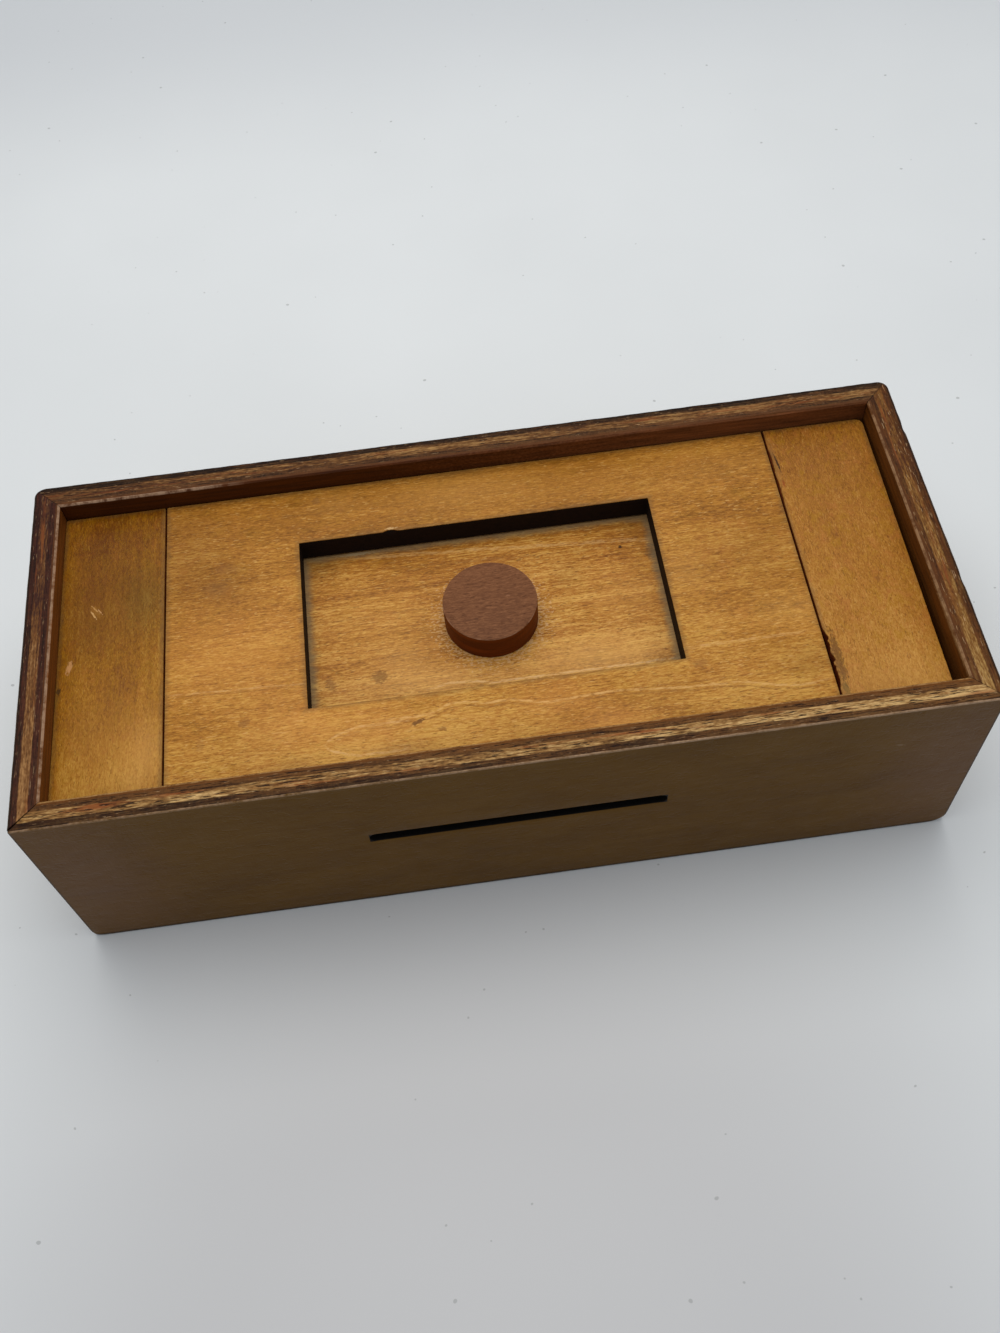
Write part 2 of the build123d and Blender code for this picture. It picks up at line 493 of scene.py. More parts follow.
@dataclass(frozen=True)
class SawnPlies:
    """The sawn edge of five ply board, sanded and stained with the rest.

    The cross plies show thirsty end grain, which drinks the stain and goes dark. The core runs
    lengthwise and stays golden and streaky.
    """

    seed: float
    cross_dark: str = "#2E1A14"
    cross_light: str = "#5E4434"
    core_dark: str = "#5E3A1A"
    core: str = "#8C6236"
    core_light: str = "#BC9452"
    rust: str = "#8A4A22"
    rust_share: float = 0.6
    thickness: float = 6.0
    face_ply: float = 0.45
    cross_ply: float = 1.5
    core_tone: float = 0.5
    core_along: float = 0.0        # how much lighter the core gets for each mm along the board
    core_slope: float = 0.0        # and for each mm inwards
    core_shift: float = 0.0        # how far the whole lay-up was sanded off centre
    cross_tone: float = 0.45
    cross_slope: float = 0.07      # how much lighter the cross plies get for each mm inwards
    cross_along: float = 0.0       # and for each mm along the board
    mingled: float = 0.1           # how far stain and wear have blurred the plies into each other
    dark_speck: str = "#22120C"
    dark_share: float = 0.7
    dark_from: float = 0.11        # the noise level above which dark specks show
    light_speck: str = "#C8A478"
    light_share: float = 0.35

    def draw(self, graph: Graph) -> tuple[Socket, Socket]:
        """Draw the plies by how deep each point lies in the board.

        Args:
            graph: the tree to draw in.

        Returns:
            The colour, and the height of its relief in mm.
        """
        seed = self.seed
        drift = graph.grain(9.0, 30.0, seed, detail=4.0, roughness=0.65, deep=40.0)
        level = graph.total([(graph.depth, 1.0), (drift, 0.75)], self.core_shift)
        half = self.thickness / 2
        core_begins = self.face_ply + self.cross_ply
        in_core = graph.band(level, core_begins, self.thickness - core_begins, 0.14)
        blur = graph.grain(7.0, 30.0, seed + 1.2, detail=4.0, roughness=0.7, deep=0.5)
        blurred = graph.add("ShaderNodeMapRange", {0: blur, 1: -0.16, 2: 0.16}, **SOFT_STEP)
        in_core = graph.total([(in_core, 1.0 - self.mingled), (blurred, self.mingled)])

        streak = graph.grain(5.0, 3.0, seed + 2.3, detail=4.0, roughness=0.75, deep=0.34)
        patch = graph.grain(22.0, 30.0, seed + 4.1, detail=2.0, deep=3.0)
        spot = graph.grain(1.2, 2.0, seed + 6.6, detail=1.0, deep=0.4)
        tone_parts = [
            (streak, 2.0),
            (patch, 1.2),
            (spot, 0.9),
            (graph.depth, self.core_slope),
            (graph.along, self.core_along),
        ]
        tone = graph.total(tone_parts, self.core_tone - half * self.core_slope)
        stops = ((0.0, self.core_dark), (1.0, self.core_light), (0.5, self.core))
        core = graph.add("ShaderNodeValToRGB", {0: tone}, stops=stops)
        rust = graph.grain(16.0, 30.0, seed + 9.0, detail=3.0, deep=1.1)
        rusty = graph.add("ShaderNodeMapRange", {0: rust, 1: 0.02, 2: 0.22}, **SOFT_STEP)
        core = graph.layered(core, [(graph.product(rusty, self.rust_share), self.rust)])

        end_grain = graph.grain(0.5, 2.0, seed + 8.8, detail=2.0, deep=1.2)
        smear = graph.grain(15.0, 9.0, seed + 11.4, detail=3.0, deep=0.9)
        fleck = graph.grain(3.0, 9.0, seed + 13.7, detail=2.0, roughness=0.7, deep=0.22)
        cross_parts = [
            (end_grain, 0.6),
            (smear, 1.4),
            (fleck, 1.4),
            (graph.depth, self.cross_slope),
            (graph.along, self.cross_along),
        ]
        cross_tone = graph.total(cross_parts, self.cross_tone - half * self.cross_slope)
        cross_stops = ((0.0, self.cross_dark), (1.0, self.cross_light))
        cross = graph.add("ShaderNodeValToRGB", {0: cross_tone}, stops=cross_stops)
        colour = graph.layered(cross, [(in_core, core)])
        dark_noise = graph.grain(2.8, 2.0, seed + 15.1, detail=3.0, deep=0.24)
        dark_inputs = {0: dark_noise, 1: self.dark_from, 2: self.dark_from + 0.07}
        dark = graph.add("ShaderNodeMapRange", dark_inputs, **SOFT_STEP)
        light_noise = graph.grain(2.4, 2.0, seed + 17.3, detail=3.0, deep=0.22)
        light = graph.add("ShaderNodeMapRange", {0: light_noise, 1: 0.13, 2: 0.2}, **SOFT_STEP)
        specks: list[Layer] = [
            (graph.product(dark, self.dark_share), self.dark_speck),
            (graph.product(light, self.light_share), self.light_speck),
        ]
        relief = graph.total([(in_core, 0.05), (streak, 0.09), (end_grain, 0.06), (dark, -0.04)])
        return graph.layered(colour, specks), relief


# ---------------------------------------------------------------- finishes

@dataclass(frozen=True)
class StainedWallPly:
    """Birch plywood for the walls, stained walnut brown, varnished thin and worn by years of use.

    It is a quiet olive brown face with a dull satin shine. Along the rim the plies show as bands,
    and the arrises are rubbed back to pale wood, with a painted highlight along them.
    """

    name: str
    lie: Lie
    half_length: float
    height: float
    plies: SawnPlies
    face: Veneer
    inner: str = "#451D08"
    inner_dark: str = "#20100A"    # the mottle on the inner face
    bare: str = "#B88E5C"
    # pale arrises: stain rubbed off, with a painted highlight along the rounded edge
    outer_wear_and_highlight: str = "#AC8E72"
    outer_wear_and_highlight_share: float = 0.8
    inner_wear_and_highlight: str = "#B49478"
    inner_wear_and_highlight_share: float = 0.8
    inner_wear_and_highlight_span: Point = (300.0, 290.0)    # where along the board that wear and highlight fade out, and are whole
    outer_wear_and_highlight_along: float = 0.0  # how much more wear and painted highlight the outer arris has for each mm along the board
    inner_ply: str = "#5A3418"
    outer_grime: str = "#1A100A"   # what has settled on the outer arris where nobody holds the box
    outer_grime_share: float = 0.0
    # painted highlights and marks on the inner face
    inner_marks_and_highlights: tuple[Mark, ...] = ()
    # dirt on the upright arrises, and painted shade along the foot
    dirt_and_foot_shade: str = "#120B07"
    stain_ends: float = 46.0       # inside, the stain stops under the deck and the wood is bare below it
    slot_middle: Point | None = None
    slot_half: Point = (32.0, 1.6)
    char: str = "#0B0705"
    glue_share: float = 0.4        # how dark the mitres are drawn

    def inside(self, graph: Graph) -> Socket:
        """Draw the inner face: stained and mottled, bare below the deck, and with any painted highlights.

        Args:
            graph: the tree to draw in.

        Returns:
            Its colour.
        """
        seed = self.plies.seed
        stain_edge = {0: graph.across, 1: self.stain_ends + 0.5, 2: self.stain_ends - 0.5}
        is_bare = graph.add("ShaderNodeMapRange", stain_edge, **SOFT_STEP)
        clouds = [(mark.mask(graph, seed + 34.0), mark.colour) for mark in self.inner_marks_and_highlights]
        mottle = graph.total([(graph.grain(12.0, 0.8, seed + 33.0, detail=3.0), 1.6)], 0.22)
        return graph.layered(self.inner, [(is_bare, self.bare), *clouds, (mottle, self.inner_dark)])

    def rim(self, graph: Graph, level: Socket, rub: Socket) -> list[Layer]:
        """Draw what dust and hands have left along the rim, and the painted highlight on its arrises.

        Args:
            graph: the tree to draw in.
            level: how deep below the face each point lies, with a slight waver.
            rub: the noise that says where hands have rubbed.

        Returns:
            Grime on the outer arris, then wear with painted highlight on the outer and on the inner one.
        """
        seed, thickness = self.plies.seed, self.plies.thickness
        rim_from = self.height - 0.6
        near_rim = graph.add("ShaderNodeMapRange", {0: graph.across, 1: rim_from, 2: self.height - 0.35})
        very_top = graph.add("ShaderNodeMapRange", {0: graph.across, 1: rim_from, 2: self.height - 0.3})

        outer_band = graph.add("ShaderNodeMapRange", {0: level, 1: 0.75, 2: 0.45}, **SOFT_STEP)
        grime = graph.product(outer_band, near_rim, self.outer_grime_share)

        fine = graph.grain(0.7, 0.4, seed + 36.0, detail=1.0)
        # wear and painted highlight on the outer arris
        rubbed = graph.total([(rub, 2.2), (fine, 1.0), (graph.along, self.outer_wear_and_highlight_along)], 0.66)
        outer = graph.add("ShaderNodeMapRange", {0: level, 1: 0.34, 2: 0.26}, **SOFT_STEP)
        outer_wear_and_highlight = graph.product(outer, near_rim, rubbed, self.outer_wear_and_highlight_share)

        # wear and painted highlight on the inner arris, broken up
        chips = graph.grain(3.0, 3.0, seed + 37.0, detail=4.0, roughness=0.75)
        broken = graph.add("ShaderNodeMapRange", {0: graph.total([(chips, 3.4)], 0.62)}, **SOFT_STEP)
        inner_edge = {0: level, 1: thickness - 0.52, 2: thickness - 0.4}
        inner = graph.add("ShaderNodeMapRange", inner_edge, **SOFT_STEP)
        span = {0: graph.along, 1: self.inner_wear_and_highlight_span[0], 2: self.inner_wear_and_highlight_span[1]}
        in_span = graph.add("ShaderNodeMapRange", span, **SOFT_STEP)
        inner_wear_and_highlight = graph.product(inner, very_top, broken, in_span, self.inner_wear_and_highlight_share)
        return [(grime, self.outer_grime), (outer_wear_and_highlight, self.outer_wear_and_highlight), (inner_wear_and_highlight, self.inner_wear_and_highlight)]

    def edges(self, graph: Graph) -> tuple[Socket, Socket]:
        """Find where glue shows, and where dirt and painted shade gather: dirt on the upright arrises,
        painted shade along the foot where the wall stands on the table.

        Args:
            graph: the tree to draw in.

        Returns:
            A mask of the glued mitres, and one of the upright arrises and the foot.
        """
        along = graph.add("ShaderNodeMath", {0: graph.along}, operation="ABSOLUTE")
        to_mitre = graph.total([(along, -1.0), (graph.depth, -1.0)], self.half_length)
        glue_line = graph.add("ShaderNodeMapRange", {0: to_mitre, 1: 0.3, 2: 0.05}, **SOFT_STEP)
        to_end = graph.total([(along, -1.0)], self.half_length)
        upright = graph.add("ShaderNodeMapRange", {0: to_end, 1: 0.8, 2: 0.35}, **SOFT_STEP)
        # painted shade along the foot, where the wall stands on the table
        foot = graph.add("ShaderNodeMapRange", {0: graph.across, 1: 1.5, 2: 0.6}, **SOFT_STEP)
        return glue_line, graph.add("ShaderNodeMath", {0: upright, 1: foot}, operation="MAXIMUM")

    def make(self) -> bpy.types.Material:
        """Build the material.

        Returns:
            The material.
        """
        material, graph = new_material(self.name, self.lie)
        plies, ply_relief = self.plies.draw(graph)
        face, face_relief = self.face.draw(graph)
        seed, thickness = self.plies.seed, self.plies.thickness
        drift = graph.grain(1.6, 2.0, seed + 31.0, detail=2.0, deep=30.0)
        level = graph.total([(graph.depth, 1.0), (drift, 0.2)])
        on_face = graph.add("ShaderNodeMapRange", {0: level, 1: 0.34, 2: 0.22}, **SOFT_STEP)
        inner_face = {0: level, 1: thickness - 0.3, 2: thickness - 0.15}
        on_inside = graph.add("ShaderNodeMapRange", inner_face, **SOFT_STEP)
        ply_edge = {0: level, 1: thickness - 0.95, 2: thickness - 0.8}
        on_inner_ply = graph.add("ShaderNodeMapRange", ply_edge, **SOFT_STEP)
        rub = graph.grain(5.0, 3.0, seed + 35.0, detail=4.0, roughness=0.7)
        glue_line, arris = self.edges(graph)
        layers: list[Layer] = [
            (graph.product(on_inner_ply, 0.75), self.inner_ply),
            (on_face, face),
            # dirt on the upright arrises and painted shade along the foot
            (graph.product(on_face, arris, 0.65), self.dirt_and_foot_shade),
            (on_inside, self.inside(graph)),
            *self.rim(graph, level, rub),
            (graph.product(glue_line, self.glue_share), self.char),
        ]
        if self.slot_middle:
            from_slot = graph.far_from(self.slot_middle, self.slot_half)
            in_slot = graph.add("ShaderNodeMapRange", {0: from_slot, 1: 0.12, 2: 0.02}, **SOFT_STEP)
            layers.append((in_slot, self.char))
        smooth = graph.add("ShaderNodeMath", {0: on_face, 1: on_inside}, operation="MAXIMUM")
        relief = graph.total([(ply_relief, 1.0), (graph.product(smooth, face_relief), 0.5)])
        rough = graph.total([(smooth, -0.16), (rub, 0.35)], 0.62)
        graph.surface(graph.layered(plies, layers), relief, rough, 0.1)
        return material


@dataclass(frozen=True)
class StainedDeckPly:
    """Birch plywood for the deck, cut with a laser, stained golden brown and varnished satin.

    The face is warm and fine grained. The cut edges are charred nearly black, and the underside was
    only wiped over.
    """

    name: str
    lie: Lie
    thickness: float
    face: Veneer
    middle: Point                  # of the piece, along and across its grain
    half: Point                    # half its size, along and across its grain
    window_middle: Point | None = None
    window_half: Point = (40.0, 22.0)
    char: str = "#0C0604"
    edge_brown: str = "#1E0F08"
    sawn: str = "#843C18"          # the outer edges, sawn and stained red brown
    underside: str = "#A67C4A"
    # dirt and painted shade along the edges
    grime: str = "#6A4E2C"
    grime_and_shade_share: float = 0.45
    grime_and_shade_reach: float = 1.4
    grime_and_shade_beyond: float = 100.0    # how far it goes on outside the edge
    char_from: float = 0.14        # how far below the face the charring begins

    def make(self) -> bpy.types.Material:
        """Build the material.

        Returns:
            The material.
        """
        material, graph = new_material(self.name, self.lie)
        face, relief = self.face.draw(graph)
        seed = self.face.seed + 50
        scorch = graph.grain(2.5, 2.5, seed, detail=2.0)
        below = graph.total([(graph.depth, 1.0), (scorch, 0.12)])
        cut_ends = self.thickness - 0.2
        cut = graph.band(below, self.char_from, cut_ends, 0.05)
        soot = graph.total([(graph.grain(1.5, 1.5, seed + 1, detail=3.0, deep=0.6), 1.6)], 0.4)
        sides = graph.layered(self.sawn, [(graph.product(soot, 0.6), self.edge_brown)])
        under = graph.add("ShaderNodeMapRange", {0: below, 1: cut_ends, 2: self.thickness - 0.1})

        from_edge = graph.product(graph.far_from(self.middle, self.half), -1.0)
        if self.window_middle:
            from_window = graph.far_from(self.window_middle, self.window_half)
            by_window = graph.add("ShaderNodeMapRange", {0: from_window, 1: 3.0, 2: 2.0}, **SOFT_STEP)
            charred = graph.layered(self.char, [(soot, self.edge_brown)])
            sides = graph.layered(sides, [(by_window, charred)])
            inputs = {0: from_edge, 1: from_window}
            from_edge = graph.add("ShaderNodeMath", inputs, operation="MINIMUM")
        # dirt and painted shade, darker near each edge
        ragged = graph.total([(from_edge, 1.0), (graph.grain(4.0, 2.0, seed + 2, detail=3.0), 2.2)])
        edge_grime_and_shade = graph.add("ShaderNodeMapRange", {0: ragged, 1: self.grime_and_shade_reach, 2: 0.0}, **SOFT_STEP)
        beyond = {0: ragged, 1: -2 * self.grime_and_shade_beyond, 2: -self.grime_and_shade_beyond}
        edge_grime_and_shade = graph.product(edge_grime_and_shade, graph.add("ShaderNodeMapRange", beyond, **SOFT_STEP))
        layers: list[Layer] = [
            (graph.product(edge_grime_and_shade, self.grime_and_shade_share), self.grime),
            (cut, sides),
            (under, self.underside),
        ]
        rough = graph.total([(graph.grain(9.0, 5.0, seed + 3, detail=3.0), 0.35), (cut, 0.3)], 0.44)
        graph.surface(graph.layered(face, layers), relief, rough, 0.12)
        return material


@dataclass(frozen=True)
class StainedDisc:
    """A plywood disc for the knob, cut with a laser and dipped in red brown stain.

    Its top is a dull chocolate red with a fine wavy grain and a painted highlight on its arris, and its
    charred side is darker still.
    """

    name: str
    lie: Lie
    face: Veneer
    side: str = "#753306"
    side_dark: str = "#481D04"
    # painted highlight along the top arris
    arris: str = "#B4876A"

    def make(self) -> bpy.types.Material:
        """Build the material.

        Returns:
            The material.
        """
        material, graph = new_material(self.name, self.lie)
        face, relief = self.face.draw(graph)
        side_bands = graph.total([(graph.grain(14.0, 14.0, 71.0, detail=2.0, deep=1.2), 2.0)], 0.4)
        side = graph.layered(self.side, [(side_bands, self.side_dark)])
        on_side = graph.add("ShaderNodeMapRange", {0: graph.depth, 1: 0.24, 2: 0.34}, **SOFT_STEP)
        # painted highlight on the top arris, broken up by noise
        rubbed = graph.total([(graph.grain(2.0, 2.0, 73.0, detail=2.0), 2.4)], 0.35)
        arris_highlight = graph.product(graph.band(graph.depth, 0.06, 0.24, 0.05), rubbed)
        colour = graph.layered(face, [(graph.product(arris_highlight, 0.75), self.arris), (on_side, side)])
        graph.surface(colour, relief, graph.total([(on_side, 0.12)], 0.5), 0.12)
        return material


@dataclass(frozen=True)
class BareWood:
    """Unfinished birch for what lies inside: sawn, planed and left raw.

    It is pale and dry, with soft streaks and no shine.
    """

    name: str
    lie: Lie
    face: Veneer

    def make(self) -> bpy.types.Material:
        """Build the material.

        Returns:
            The material.
        """
        material, graph = new_material(self.name, self.lie)
        colour, relief = self.face.draw(graph)
        graph.surface(colour, relief, graph.total([(graph.grain(6.0, 2.0, 81.0), 0.2)], 0.68), 0.25)
        return material


@dataclass(frozen=True)
class PaintedTable:
    """A white lacquered table top, sprayed and buffed to a dull sheen.

    It is a cool pale grey with a barely visible mottle and a few specks of dust, with a painted
    shadow a shade greyer in front of the box and painted shade towards its far edge.
    """

    name: str = "white_lacquer_table"
    pale: str = "#E6EAEC"
    grey: str = "#DFE3E5"
    dust: str = "#8E9090"
    # painted shadow, greyer in front of the box: its colour, its middle and how far it reaches
    painted_shadow: str = "#CACBCD"
    painted_shadow_middle: Point = (-20.0, -150.0)
    painted_shadow_reach: Point = (50.0, 160.0)
    # painted shade: the table darker far behind the box, as the light falls off
    far_falloff_shade: str = "#D2D6DA"
    far_falloff_span: Point = (215.0, 330.0)

    def make(self) -> bpy.types.Material:
        """Build the material.

        Returns:
            The material.
        """
        material, graph = new_material(self.name, Lie(0, 1, 2, 0.0, -1.0))
        mottle = graph.total([(graph.grain(90.0, 90.0, 91.0, detail=3.0), 1.5)], 0.5)
        speck_noise = graph.grain(2.2, 2.0, 93.0, detail=0.0)
        speck = graph.add("ShaderNodeMapRange", {0: speck_noise, 1: 0.365, 2: 0.385}, **SOFT_STEP)
        middle = [
            graph.total([(graph.along, 1.0)], -self.painted_shadow_middle[0]),
            graph.total([(graph.across, 1.0)], -self.painted_shadow_middle[1]),
        ]
        place = graph.add("ShaderNodeCombineXYZ", dict(enumerate(middle)))
        away = graph.add("ShaderNodeVectorMath", {0: place}, out=1, operation="LENGTH")
        near, far = self.painted_shadow_reach
        # painted shadow in front of the box
        painted_shadow = graph.add("ShaderNodeMapRange", {0: away, 1: far, 2: near}, **SOFT_STEP)
        far_inputs = {0: graph.across, 1: self.far_falloff_span[0], 2: self.far_falloff_span[1]}
        far_falloff = graph.add("ShaderNodeMapRange", far_inputs, **SOFT_STEP)
        layers: list[Layer] = [
            (mottle, self.grey),
            (graph.product(far_falloff, 0.8), self.far_falloff_shade),
            (painted_shadow, self.painted_shadow),
            (graph.product(speck, 0.5), self.dust),
        ]
        colour = graph.layered(self.pale, layers)
        relief = graph.total([(graph.grain(1.6, 1.6, 95.0, detail=2.0), 0.004)])
        graph.surface(colour, relief, 0.42)
        return material


# ---------------------------------------------------------------- shapes

def waver(place: float, size: float, seed: float) -> float:
    """Wander smoothly between about -1 and 1 along a line."""
    return noise.noise(Vector((place / size, seed * 7.3, 0.5))) * 1.6


def add_piece(bm: bmesh.types.BMesh, node: str, body: str, material: bpy.types.Material) -> None:
    """Turn a mesh in mm into a piece that stands for a CAD node.

    Args:
        bm: the mesh, which is used up.
        node: the CAD node that it replaces.
        body: the body that it rides on.
        material: its material.
    """
    bmesh.ops.recalc_face_normals(bm, faces=bm.faces)
    bmesh.ops.scale(bm, vec=(MM, MM, MM), verts=bm.verts)
    mesh = bpy.data.meshes.new(node + "_wood")
    bm.to_mesh(mesh)
    bm.free()
    mesh.set_sharp_from_angle(angle=SHARP_ANGLE)
    mesh.materials.append(material)
    piece = bpy.data.objects.new(mesh.name, mesh)
    bpy.context.scene.collection.objects.link(piece)
    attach(piece, body)
    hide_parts(node)
    log.info("%s: %d faces, %s, on body %s", piece.name, len(mesh.polygons), material.name, body)


def join_rings(bm: bmesh.types.BMesh, lower: Ring, upper: Ring) -> None:
    """Join two closed rings with smooth faces.

    Args:
        bm: the mesh that they are in.
        lower: the first ring.
        upper: the second ring, of as many vertices.
    """
    for i, vert in enumerate(lower):
        j = (i + 1) % len(lower)
        bm.faces.new((vert, lower[j], upper[j], upper[i])).smooth = True


def ring_edges(bm: bmesh.types.BMesh, ring: Ring) -> list[bmesh.types.BMEdge]:
    """Find the edges of a closed ring of vertices."""
    return [bm.edges.get((vert, ring[(i + 1) % len(ring)])) for i, vert in enumerate(ring)]


def rounded_outline(corners: list[tuple[float, float, float]], step: float, arc_steps: int = 4) -> Outline:
    """Draw a convex outline with rounded corners, counter-clockwise.

    Args:
        corners: each corner's place and radius, in mm.
        step: the longest stretch without a point.
        arc_steps: how many steps each corner's arc has.

    Returns:
        The points of the outline, each with the direction that leads straight into the shape.
    """
    arcs: list[Outline] = []
    for i, (x, y, radius) in enumerate(corners):
        here = Vector((x, y))
        arriving = (here - Vector(corners[i - 1][:2])).normalized()
        leaving = (Vector(corners[(i + 1) % len(corners)][:2]) - here).normalized()
        first, last = Vector((-arriving.y, arriving.x)), Vector((-leaving.y, leaving.x))
        centre = here + (first + last) * (radius / (1 + first.dot(last)))
        turns = [first.slerp(last, k / arc_steps) for k in range(arc_steps + 1)]
        arcs.append([(centre - turn * radius, turn) for turn in turns])
    outline: Outline = []
    for i, arc in enumerate(arcs):
        outline += arc
        start, inward = arc[-1]
        end = arcs[(i + 1) % len(arcs)][0][0]
        count = math.ceil((end - start).length / step)
        outline += [(start.lerp(end, k / count), inward) for k in range(1, count)]
    return outline


def box_outline(low: Vector, high: Vector, radius: float, step: float) -> Outline:
    """Draw a rectangle with rounded corners between two corners of a box."""
    corners = [(low.x, low.y), (high.x, low.y), (high.x, high.y), (low.x, high.y)]
    return rounded_outline([(x, y, radius) for x, y in corners], step)


def circle_outline(middle: Point, radius: float, steps: int) -> Outline:
    """Draw a circle, counter-clockwise.

    Args:
        middle: its centre, in mm.
        radius: its radius, in mm.
        steps: how many points it has.

    Returns:
        The points, each with the direction that leads straight into the circle.
    """
    turns = [2 * math.pi * k / steps for k in range(steps)]
    inward = [Vector((-math.cos(turn), -math.sin(turn))) for turn in turns]
    return [(Vector(middle) - way * radius, way) for way in inward]


def box_mm(node: str) -> tuple[Vector, Vector]:
    """Find a CAD node's lowest and highest corner, in mm."""
    low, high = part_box(node)
    return low / MM, high / MM


@dataclass(frozen=True)
class Slab:
    """A flat board cut to an outline, with holes, and with its edges eased by hand."""

    outline: Outline
    bottom: float
    top: float
    holes: tuple[Outline, ...] = ()
    ease: float = 0.3              # radius of the upper arris
    ease_below: float = 0.2        # chamfer of the lower arris
    rows: int = 4                  # rows of faces on the cut edge
    # how far the edge retreats, by the place on the outline and the height
    wear: Callable[[Vector, float], float] = field(default=lambda place, height: 0.0)

    def levels(self) -> list[Point]:
        """List the rings that the edge is made of.

        Returns:
            How far in and how high each ring lies, in mm, from the bottom up.
        """
        low, high = self.bottom + self.ease_below, self.top - self.ease
        straight = [(0.0, low + (high - low) * k / self.rows) for k in range(self.rows + 1)]
        turns = [math.radians(turn) for turn in (30, 60, 90)]
        arc = [(self.ease * (1 - math.cos(turn)), high + self.ease * math.sin(turn)) for turn in turns]
        return [(self.ease_below, self.bottom), *straight, *arc]

    def build(self) -> bmesh.types.BMesh:
        """Build the board, with flat faces above and below.

        Returns:
            Its mesh, in mm.
        """
        bm = bmesh.new()
        low_edges, top_edges = [], []
        shapes = [(self.outline, 1.0), *((hole, -1.0) for hole in self.holes)]
        for outline, way in shapes:
            rings = []
            for inset, height in self.levels():
                ring = []
                for place, inward in outline:
                    moved = place + inward * (way * (inset + self.wear(place, height)))
                    ring.append(bm.verts.new((moved.x, moved.y, height)))
                rings.append(ring)
            for lower, upper in zip(rings, rings[1:]):
                join_rings(bm, lower, upper)
            low_edges += ring_edges(bm, rings[0])
            top_edges += ring_edges(bm, rings[-1])
        for edges in (low_edges, top_edges):
            bmesh.ops.triangle_fill(bm, edges=edges, use_beauty=True)
        return bm


# ---------------------------------------------------------------- the four walls

class Side(Enum):
    """A wall by the side it stands on: its CAD node, its outward direction and the direction along it."""

    FRONT = ("front_wall", (0, -1), (1, 0))
    BACK = ("back_wall", (0, 1), (-1, 0))
    LEFT = ("left_wall", (-1, 0), (0, -1))
    RIGHT = ("right_wall", (1, 0), (0, 1))

    def __init__(self, node: str, outward: tuple[int, int], along: tuple[int, int]) -> None:
        """Keep the side's three facts by name.

        Args:
            node: the CAD node.
            outward: the direction out of the box.
            along: the direction along the wall.
        """
        self.node = node
        self.outward = Vector(outward)
        self.along = Vector(along)

    @property
    def is_long(self) -> bool:
        """Whether the wall runs along the length of the box."""
        return self in (Side.FRONT, Side.BACK)


@dataclass(frozen=True)
class Dent:
    """A knock on the rim: how far along the wall it is, how far it reaches and how deep it goes, in mm."""

    place: float
    reach: float
    deep: float


@dataclass(frozen=True)
class NoteSlot:
    """The slot for notes, with round ends and rims eased by a fraction of a millimetre."""

    along: float = 0.4
    up: float = 31.7
    length: float = 64.0
    height: float = 3.2
    eased: float = 0.2

    def ring(self, grow: float) -> list[Point]:
        """Draw the slot's outline along and up the wall.

        Args:
            grow: how much larger it is drawn all round, in mm.

        Returns:
            Its points, counter-clockwise.
        """
        radius = self.height / 2
        left, right = self.along - self.length / 2, self.along + self.length / 2
        low, high = self.up - radius, self.up + radius
        corners = [(x, z, radius) for x, z in ((left, low), (right, low), (right, high), (left, high))]
        outline = rounded_outline(corners, step=2.0, arc_steps=8)
        grown = [place - inward * grow for place, inward in outline]
        places = [(place.x, place.y) for place in grown]
        return [place for i, place in enumerate(places) if math.dist(place, places[i - 1]) > 1e-6]


